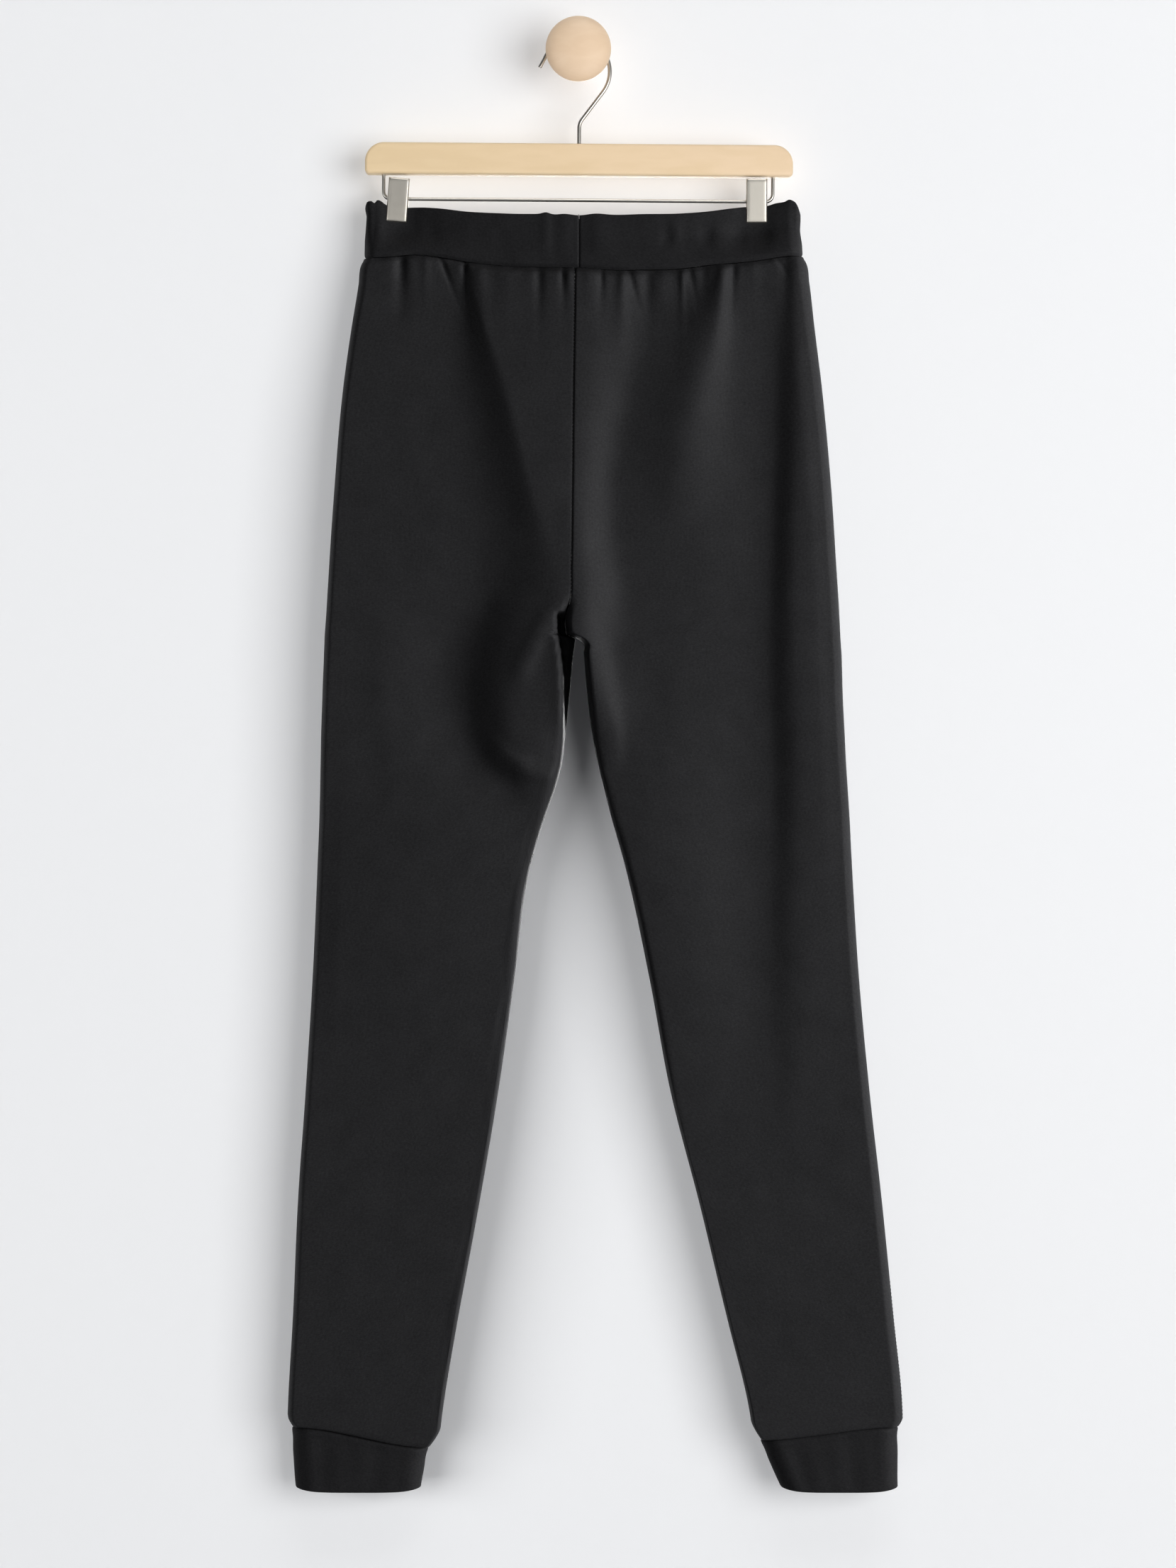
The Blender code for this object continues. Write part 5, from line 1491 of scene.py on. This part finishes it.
class Socket:
    """A shader socket that Python arithmetic can use; each operation adds a Math node."""

    __add__, __sub__, __mul__, __truediv__ = map(operator, ("ADD", "SUBTRACT", "MULTIPLY", "DIVIDE"))
    __abs__, __rsub__ = operator("ABSOLUTE"), operator("SUBTRACT", swapped=True)

    def __init__(self, tree: bpy.types.NodeTree, socket: bpy.types.NodeSocket) -> None:
        """Wraps an output socket of a tree."""
        self.tree = tree
        self.socket = socket

    def _math(self, operation: str, *terms: "Socket | float") -> "Socket":
        """Adds a Math node with these inputs."""
        made = self.tree.nodes.new("ShaderNodeMath")
        made.operation = operation
        for entry, term in zip(made.inputs, terms):
            if isinstance(term, Socket):
                self.tree.links.new(term.socket, entry)
            else:
                entry.default_value = term
        return Socket(self.tree, made.outputs[0])

    def fraction(self) -> "Socket":
        """The part of self after the point."""
        return self._math("FRACT", self)

    def wave(self) -> "Socket":
        """A sine of self, where 1 is a full turn, from 0 to 1."""
        return self._math("SINE", self * (2 * math.pi)) * 0.5 + 0.5

    def above(self, low: float, high: float) -> "Socket":
        """0 where self is under low, 1 where it is over high, and a straight ramp between."""
        ramp = self._math("MINIMUM", (self - low) / (high - low), 1.0)
        return self._math("MAXIMUM", ramp, 0.0)


class Shader:
    """A material's nodes, added by one method."""

    def __init__(self, name: str) -> None:
        """Starts a material with no nodes."""
        self.material = bpy.data.materials.new(name)
        self.material.use_nodes = True
        self.tree = self.material.node_tree
        self.tree.nodes.clear()

    def node(self, kind: str, settings: dict[str, Any] | None = None, sockets: dict[Any, Any] | None = None,
             output: int | str = 0) -> Socket:
        """Adds a node.

        Args:
            kind: The node's type.
            settings: Its properties.
            sockets: For each input, a value or a Socket.
            output: The output to use.
        Returns:
            That output.
        """
        made = self.tree.nodes.new(kind)
        for name, value in (settings or {}).items():
            setattr(made, name, value)
        for name, value in (sockets or {}).items():
            if isinstance(value, Socket):
                self.tree.links.new(value.socket, made.inputs[name])
            else:
                made.inputs[name].default_value = value
        return Socket(self.tree, made.outputs[output])

    def object_place(self) -> Socket:
        """The place on the object, in metres."""
        return self.node("ShaderNodeTexCoord", output="Object")

    def stretched(self, place: Socket, scale: Triple) -> Socket:
        """A place multiplied by a scale along each axis."""
        return self.node("ShaderNodeVectorMath", {"operation": "MULTIPLY"}, {0: place, 1: scale})

    def noise(self, place: Socket, scale: float, detail: float = 3.0, rough: float = 0.5) -> Socket:
        """Noise from 0 to 1 over a place."""
        return self.node("ShaderNodeTexNoise", {"noise_dimensions": "3D"},
                         {"Vector": place, "Scale": scale, "Detail": detail, "Roughness": rough})

    def blend(self, factor: Socket | float, first: Socket | Colour, second: Socket | Colour) -> Socket:
        """A mix of two colours."""
        colours = [c if isinstance(c, Socket) else (*c, 1.0) for c in (first, second)]
        return self.node("ShaderNodeMix", {"data_type": "RGBA"},
                         {0: factor, 6: colours[0], 7: colours[1]}, 2)

    def bump(self, height: Socket, depth: float, strength: float) -> Socket:
        """A bumped normal: the relief is height, from 0 to 1, times depth in metres."""
        return self.node("ShaderNodeBump", {}, {"Height": height, "Distance": depth, "Strength": strength})

    def surfaced(self, shader: Socket) -> Material:
        """Ends the material in a shader."""
        end = self.tree.nodes.new("ShaderNodeOutputMaterial")
        self.tree.links.new(shader.socket, end.inputs["Surface"])
        return self.material

    def principled(self, base: Socket, rough: Socket, normal: Socket, **uniform: float) -> Material:
        """Ends the material in a Principled shader; uniform names its other inputs, with _ for a space."""
        sockets = {"Base Color": base, "Roughness": rough, "Normal": normal}
        sockets.update({name.replace("_", " "): value for name, value in uniform.items()})
        return self.surfaced(self.node("ShaderNodeBsdfPrincipled", {}, sockets))


@dataclass(frozen=True)
class KnitFinish:
    """Smooth black jersey: fine ribs of stitches, mottled tones and faint lint."""

    name: str
    colour: Colour
    contrast: float = 0.38  # How far the darkest and lightest tones are from colour, as a part of it.
    wale: float = 0.0011
    course: float = 0.0009
    relief: float = 0.00010
    strength: float = 0.45
    roughness: float = 0.62
    rough_range: float = 0.10
    specular: float = 0.10
    wander: float = 60.0
    fibres: float = 2600.0
    grain: Triple = (520.0, 1150.0, 1.0)
    mottle: float = 42.0
    flecks: float = 420.0
    lint: Colour = (0.035, 0.035, 0.035)
    lint_cells: float = 24.0  # Specks to a metre.
    lint_size: Point = (0.006, 0.012)  # Where a speck starts to fade and ends, in cells.
    lint_share: float = 0.5

    def build(self) -> Material:
        """Makes the material."""
        shader = Shader(self.name)
        place = shader.node("ShaderNodeUVMap", {"uv_map": UV_NAME})
        across, down = (shader.node("ShaderNodeSeparateXYZ", {}, {0: place}, axis) for axis in "XY")
        wander = shader.noise(place, self.wander, 2.0)
        arm = abs((across / self.wale + wander * 1.5).fraction() - 0.5) * 2.0
        loops = (down / self.course + arm * 0.5 + wander).wave()
        ribs = 1.0 - arm * arm
        relief = ribs * (loops * 0.5 + 0.5) * 0.65 + shader.noise(place, self.fibres, 2.0, 0.6) * 0.35
        grain = shader.noise(shader.stretched(place, self.grain), 1.0, 2.0, 0.65)
        mottle = shader.noise(place, self.mottle, 3.0)
        flecks = shader.noise(place, self.flecks, 2.0, 0.6)
        # Painted shade and highlight: the tone also follows the stitch relief, darker in the hollows between
        # loops and lighter on the raised loops.
        tone = (grain - 0.5) + (flecks - 0.5) * 0.8 + (mottle - 0.5) * 0.4 + (relief - 0.5) * 0.35 + 0.5
        parts = (1 - self.contrast, 1 + self.contrast)
        dark, light = (tuple(c * part for c in self.colour) for part in parts)
        base = shader.blend(tone, dark, light)
        spots = shader.node("ShaderNodeTexVoronoi", {"voronoi_dimensions": "2D", "feature": "F1"},
                            {"Vector": place, "Scale": self.lint_cells, "Randomness": 1.0})
        specks = 1.0 - spots.above(*self.lint_size)
        base = shader.blend(specks * self.lint_share, base, self.lint)
        normal = shader.bump(relief, self.relief, self.strength)
        rough = (mottle - 0.5) * self.rough_range + self.roughness
        return shader.principled(base, rough, normal, Specular_IOR_Level=self.specular)


@dataclass(frozen=True)
class WoodFinish:
    """Pale smooth wood with its grain along one axis, a thin satin coat and painted light that can make it
    paler towards one end.
    """

    name: str
    light: Colour
    dark: Colour
    fleck: Colour
    grain: Triple
    painted_light_slope: Triple  # How fast the light tone turns into turned along each axis: a painted gradient of light, paler towards the end that the lamps light most.
    # The paler tone at the lit end of the painted light gradient.
    turned: Colour
    coat: float
    coat_roughness: float = 0.35
    roughness: float = 0.50
    rough_range: float = 0.12
    specular: float = 0.4
    figure: Point = (0.35, 0.45)  # The broad figure's scale and roughness.
    lines: float = 5.0
    pores: Point = (0.70, 0.82)  # Noise at which a pore starts and is full.
    pore_share: float = 0.12
    relief: float = 0.00006
    strength: float = 0.35

    def build(self) -> Material:
        """Makes the material."""
        shader = Shader(self.name)
        place = shader.object_place()
        grain = shader.stretched(place, self.grain)
        scale, rough = self.figure
        figure = shader.noise(grain, scale, 3.0, rough)
        lines = (figure * self.lines + shader.noise(grain, 1.4, 2.0) * 0.5).wave()
        fibres = shader.noise(grain, 9.0, 3.0, 0.6)
        pores = shader.noise(grain, 16.0, 1.0).above(*self.pores)
        tone = lines * 0.16 + fibres * 0.10 + figure * 0.40 + 0.12
        # Painted light: the tone turns paler along painted_light_slope, towards the end that the lamps light
        # most.
        turn = shader.node("ShaderNodeVectorMath", {"operation": "DOT_PRODUCT"},
                           {0: place, 1: self.painted_light_slope}, "Value")
        light = shader.blend((turn + 0.5).above(0.0, 1.0), self.light, self.turned)
        base = shader.blend(tone.above(0.15, 0.95), light, self.dark)
        base = shader.blend(pores * self.pore_share, base, self.fleck)
        normal = shader.bump(fibres * 0.7 - pores * 0.5, self.relief, self.strength)
        rough = (fibres - 0.5) * self.rough_range + self.roughness
        return shader.principled(base, rough, normal, Coat_Weight=self.coat, Specular_IOR_Level=self.specular,
                                 Coat_Roughness=self.coat_roughness)


@dataclass(frozen=True)
class SteelFinish:
    """Satin nickel plate with fine brushing and slight smudges."""

    name: str
    colour: Colour
    brushing: Triple
    roughness: float
    strength: float
    darkest: float = 0.90
    smudges: float = 130.0
    rough_range: float = 0.08
    relief: float = 0.00003

    def build(self) -> Material:
        """Makes the material."""
        shader = Shader(self.name)
        place = shader.object_place()
        brushed = shader.noise(shader.stretched(place, self.brushing), 1.0, 3.0, 0.6)
        smudge = shader.noise(place, self.smudges, 2.0)
        dark = tuple(c * self.darkest for c in self.colour)
        base = shader.blend(smudge * 0.6 + brushed * 0.4, dark, self.colour)
        uneven = (brushed - 0.5) * self.rough_range + (smudge - 0.5) * self.rough_range
        normal = shader.bump(brushed, self.relief, self.strength)
        return shader.principled(base, uneven + self.roughness, normal, Metallic=1.0)


@dataclass(frozen=True)
class PlasterFinish:
    """A pale painted surface of the studio; one side of it can be see-through."""

    name: str
    colour: Colour
    one_sided: bool = False
    darkest: float = 0.985
    mottle: float = 1.7

    def build(self) -> Material:
        """Makes the material."""
        shader = Shader(self.name)
        mottle = shader.noise(shader.object_place(), self.mottle, 3.0)
        base = shader.blend(mottle, tuple(c * self.darkest for c in self.colour), self.colour)
        paint = shader.node("ShaderNodeBsdfDiffuse", {}, {"Color": base})
        if self.one_sided:
            clear = shader.node("ShaderNodeBsdfTransparent")
            behind = shader.node("ShaderNodeNewGeometry", output="Backfacing")
            paint = shader.node("ShaderNodeMixShader", {}, {0: behind, 1: paint, 2: clear})
        return shader.surfaced(paint)


# The studio


@dataclass(frozen=True)
class Lamp:
    """A soft rectangular light on one group of things, shaded by another group or by everything."""

    name: str
    at: Triple
    size: Point
    watts: float
    reaches: str
    shaded_by: str | None = None
    aim: Triple = (0.0, 0.0, -0.55)

    def build(self, groups: dict[str, Collection]) -> None:
        """Adds it to the scene, linked to its groups."""
        data = bpy.data.lights.new(self.name, "AREA")
        data.shape = "RECTANGLE"
        data.size, data.size_y = self.size
        data.energy = self.watts
        made = bpy.data.objects.new(self.name, data)
        made.location = self.at
        made.rotation_euler = (Vector(self.aim) - Vector(self.at)).to_track_quat("-Z", "Y").to_euler()
        made.visible_camera = False
        made.light_linking.receiver_collection = groups[self.reaches]
        made.light_linking.blocker_collection = groups.get(self.shaded_by)
        bpy.context.scene.collection.objects.link(made)


LAMPS = (
    Lamp("window", (4.5, -2.5, 0.0), (2.4, 2.6), 325.0, "cloth", "cloth"),
    Lamp("left edges", (-0.42, -0.05, -0.62), (0.06, 1.3), 0.45, "cloth", "cloth", aim=(0.0, -0.05, -0.62)),
    Lamp("wall from the right", (2.2, -3.3, -0.4), (2.8, 2.4), 91.0, "surfaces"),
    Lamp("wall from the left", (-6.0, -6.5, -0.4), (8.0, 4.0), 520.0, "surfaces", "left leg"),
    Lamp("wall from above", (0.6, -2.2, 3.0), (2.6, 1.8), 24.0, "surfaces"),
    Lamp("wood from the right", (2.3, -3.6, -0.7), (3.4, 1.6), 89.0, "wood"),
    Lamp("wood from above", (0.5, -2.2, 3.1), (3.0, 2.4), 72.0, "wood"),
    Lamp("wood from the left", (-2.4, -2.8, -0.9), (2.4, 1.1), 36.0, "wood"),
    Lamp("wood from below", (0.6, -1.0, -1.45), (1.6, 0.8), 17.0, "wood", aim=(0.0, 0.0, -0.08)),
    Lamp("steel from the right", (2.3, -3.6, -0.7), (3.4, 1.6), 92.0, "steel"),
    Lamp("steel from above", (0.5, -2.2, 3.1), (3.0, 2.4), 82.0, "steel"),
    Lamp("steel from the left", (-2.4, -2.8, -0.9), (2.4, 1.1), 24.0, "steel"),
    Lamp("steel from the front", (0.3, -3.6, -0.2), (3.0, 2.6), 3.0, "steel"),
    Lamp("cloth from behind", (0.3, 3.2, -0.3), (1.2, 1.2), 110.0, "cloth", "object"),
    Lamp("hanger from behind", (0.3, 3.2, -0.3), (1.2, 1.2), 34.0, "rigid", "object"),
)

# The groups of pieces that lamps are linked to, by the material slots of their pieces
LIT_SLOTS = {
    "cloth": ("knit", "band_knit"),
    "wood": ("maple", "beech"),
    "steel": ("steel",),
    "rigid": ("maple", "beech", "steel"),
    "object": ("knit", "band_knit", "maple", "beech", "steel"),
}


@dataclass
class Studio:
    """A pale wall and floor, soft lights and the camera."""

    slots: dict[str, str]
    camera_at: Triple = (0.0076, -3.035, -0.5785)
    frame_height: float = 1.2387
    framed_y: float = -0.035  # The plane in which frame_height is measured.
    sensor: float = 36.0
    wall_gap: float = 0.0006
    wall_top: float = 2.6
    floor_drop: float = 1.52
    reach: float = 6.0
    wall_colour: Colour = (0.86, 0.865, 0.875)
    floor_colour: Colour = (0.42, 0.42, 0.43)
    sky: Colour = (0.94, 0.96, 1.0)
    sky_strength: float = 0.04
    gamma: float = 0.85

    def camera(self) -> None:
        """Places the level camera so that the frame holds the photograph's view."""
        data = bpy.data.cameras.new("camera")
        data.sensor_fit = "AUTO"
        data.sensor_width = self.sensor
        data.lens = self.sensor * (self.framed_y - self.camera_at[1]) / self.frame_height
        made = bpy.data.objects.new("camera", data)
        made.location = self.camera_at
        made.rotation_euler = (math.pi / 2, 0.0, 0.0)
        bpy.context.scene.collection.objects.link(made)
        bpy.context.scene.camera = made

    def plane(self, name: str, corners: Sequence[Triple], finish: Material) -> None:
        """Adds one flat staged surface, facing the way that its corners turn."""
        mesh = bpy.data.meshes.new(name)
        mesh.from_pydata(list(corners), [], [tuple(range(len(corners)))])
        made = bpy.data.objects.new(name, mesh)
        mesh.materials.append(finish)
        bpy.context.scene.collection.objects.link(made)

    def surfaces(self) -> None:
        """Adds the wall behind the knob and the floor below."""
        y, low, high, wide = self.wall_gap, -self.floor_drop, self.wall_top, self.reach
        wall = PlasterFinish("painted_wall", self.wall_colour, one_sided=True).build()
        floor = PlasterFinish("pale_floor", self.floor_colour).build()
        self.plane("wall", [(-wide, y, low), (wide, y, low), (wide, y, high), (-wide, y, high)], wall)
        ground = [(-wide, -wide, low), (wide, -wide, low), (wide, wide, low), (-wide, wide, low)]
        self.plane("floor", ground, floor)

    def groups(self) -> dict[str, Collection]:
        """Gathers the things that lamps light or that shade them, in a collection for each group."""
        members = {
            group: [name for name, slot in self.slots.items() if slot in slots]
            for group, slots in LIT_SLOTS.items()
        }
        members["left leg"] = [name for name in members["cloth"] if "left" in name]
        members["surfaces"] = ["wall", "floor"]
        groups = {}
        for group, names in members.items():
            groups[group] = bpy.data.collections.new(group)
            for name in names:
                groups[group].objects.link(bpy.data.objects[name])
        return groups

    def lights(self) -> None:
        """Adds the lamps, each for its own group of things, and an even light from all round."""
        groups = self.groups()
        for lamp in LAMPS:
            lamp.build(groups)
        world = bpy.data.worlds.new("studio")
        world.use_nodes = True
        sky = world.node_tree.nodes["Background"]
        sky.inputs["Color"].default_value = (*self.sky, 1.0)
        sky.inputs["Strength"].default_value = self.sky_strength
        bpy.context.scene.world = world

    def build(self) -> None:
        """Sets up the whole studio."""
        self.camera()
        self.surfaces()
        self.lights()
        bpy.context.scene.view_settings.view_transform = "Standard"
        bpy.context.scene.view_settings.gamma = self.gamma


class Sweatpants:
    """The garment: panels, waistband, cuffs and the stitches that join them."""

    def __init__(self) -> None:
        """Lists the pieces of cloth, with finer columns for the back's panels."""
        columns = {Face.BACK: 112, Face.FRONT: 84}
        self.panels = {(side, face): LegPanel(side, face, columns[face]) for side in Side for face in Face}
        self.band = Waistband()
        self.cuffs = (
            Cuff(Side.LEFT, left_edge=(-0.2266, -0.2234), right_edge=(-0.1180, -0.1246)),
            Cuff(Side.RIGHT, left_edge=(0.1432, 0.1604), right_edge=(0.2530, 0.2526)),
        )

    def build(self, knit: Material, band_knit: Material,
              thread: Material) -> None:
        """Makes every piece of cloth in its material, then the stitches."""
        self.band.build(band_knit)
        for panel in self.panels.values():
            panel.build(knit)
        for cuff in self.cuffs:
            cuff.build(band_knit)
        tree, seams = StitchTree("seam stitches"), Seams()
        waist = [panel.paths["waist"] for panel in self.panels.values()]
        seams.build("waist_stitches", [*waist, self.band.paths["end"]], tree, thread)
        for side in Side:
            back = self.panels[side, Face.BACK].paths
            seams.build(f"{side.value}_leg_stitches", [back["side"], back["inner"]], tree, thread)
        seams.build("cuff_stitches", [cuff.path for cuff in self.cuffs], tree, thread)


def main() -> None:
    """Builds the garment, the hanger and the studio in order."""
    logging.basicConfig(level=logging.INFO, format="%(message)s")
    knit, band_knit, thread = (
        KnitFinish(name, colour).build()
        for name, colour in (
            ("black_jersey", (0.0412, 0.0411, 0.0432)),
            ("black_band_jersey", (0.0325, 0.0323, 0.0342)),
            ("black_thread", (0.0300, 0.0300, 0.0310)),
        )
    )
    maple = WoodFinish(
        "pale_maple", light=(0.80, 0.645, 0.430), dark=(0.71, 0.550, 0.345), fleck=(0.55, 0.40, 0.25),
        # Painted light: the bar turns paler towards its right end, where the light falls.
        grain=(22.0, 90.0, 90.0), painted_light_slope=(3.0, 0.0, 0.0), turned=(0.83, 0.66, 0.49), coat=0.12,
    ).build()
    beech = WoodFinish(
        "turned_beech", light=(0.81, 0.640, 0.475), dark=(0.74, 0.560, 0.395), fleck=(0.58, 0.42, 0.29),
        grain=(60.0, 25.0, 160.0), painted_light_slope=(0.0, 0.0, 0.0), turned=(0.81, 0.640, 0.475), coat=0.10,
    ).build()
    plate = SteelFinish("satin_nickel_plate", (0.66, 0.63, 0.57), brushing=(1400.0, 1400.0, 60.0),
                        roughness=0.42, strength=0.25).build()
    wire = SteelFinish("satin_nickel_wire", (0.62, 0.60, 0.56), brushing=(5000.0, 5000.0, 5000.0),
                       roughness=0.34, strength=0.03).build()

    Sweatpants().build(knit, band_knit, thread)
    hanger = Hanger()
    hanger.bar(maple)
    hanger.hook(wire)
    hanger.rail(wire)
    Clip(Side.LEFT, x=-0.1425, drop=0.1176, turn=math.radians(4.6)).build(plate)
    Clip(Side.RIGHT, x=0.1408, drop=0.1184, turn=0.0).build(plate)
    Knob().build(beech)
    Studio(Piece.slots).build()


if __name__ == "__main__":
    main()
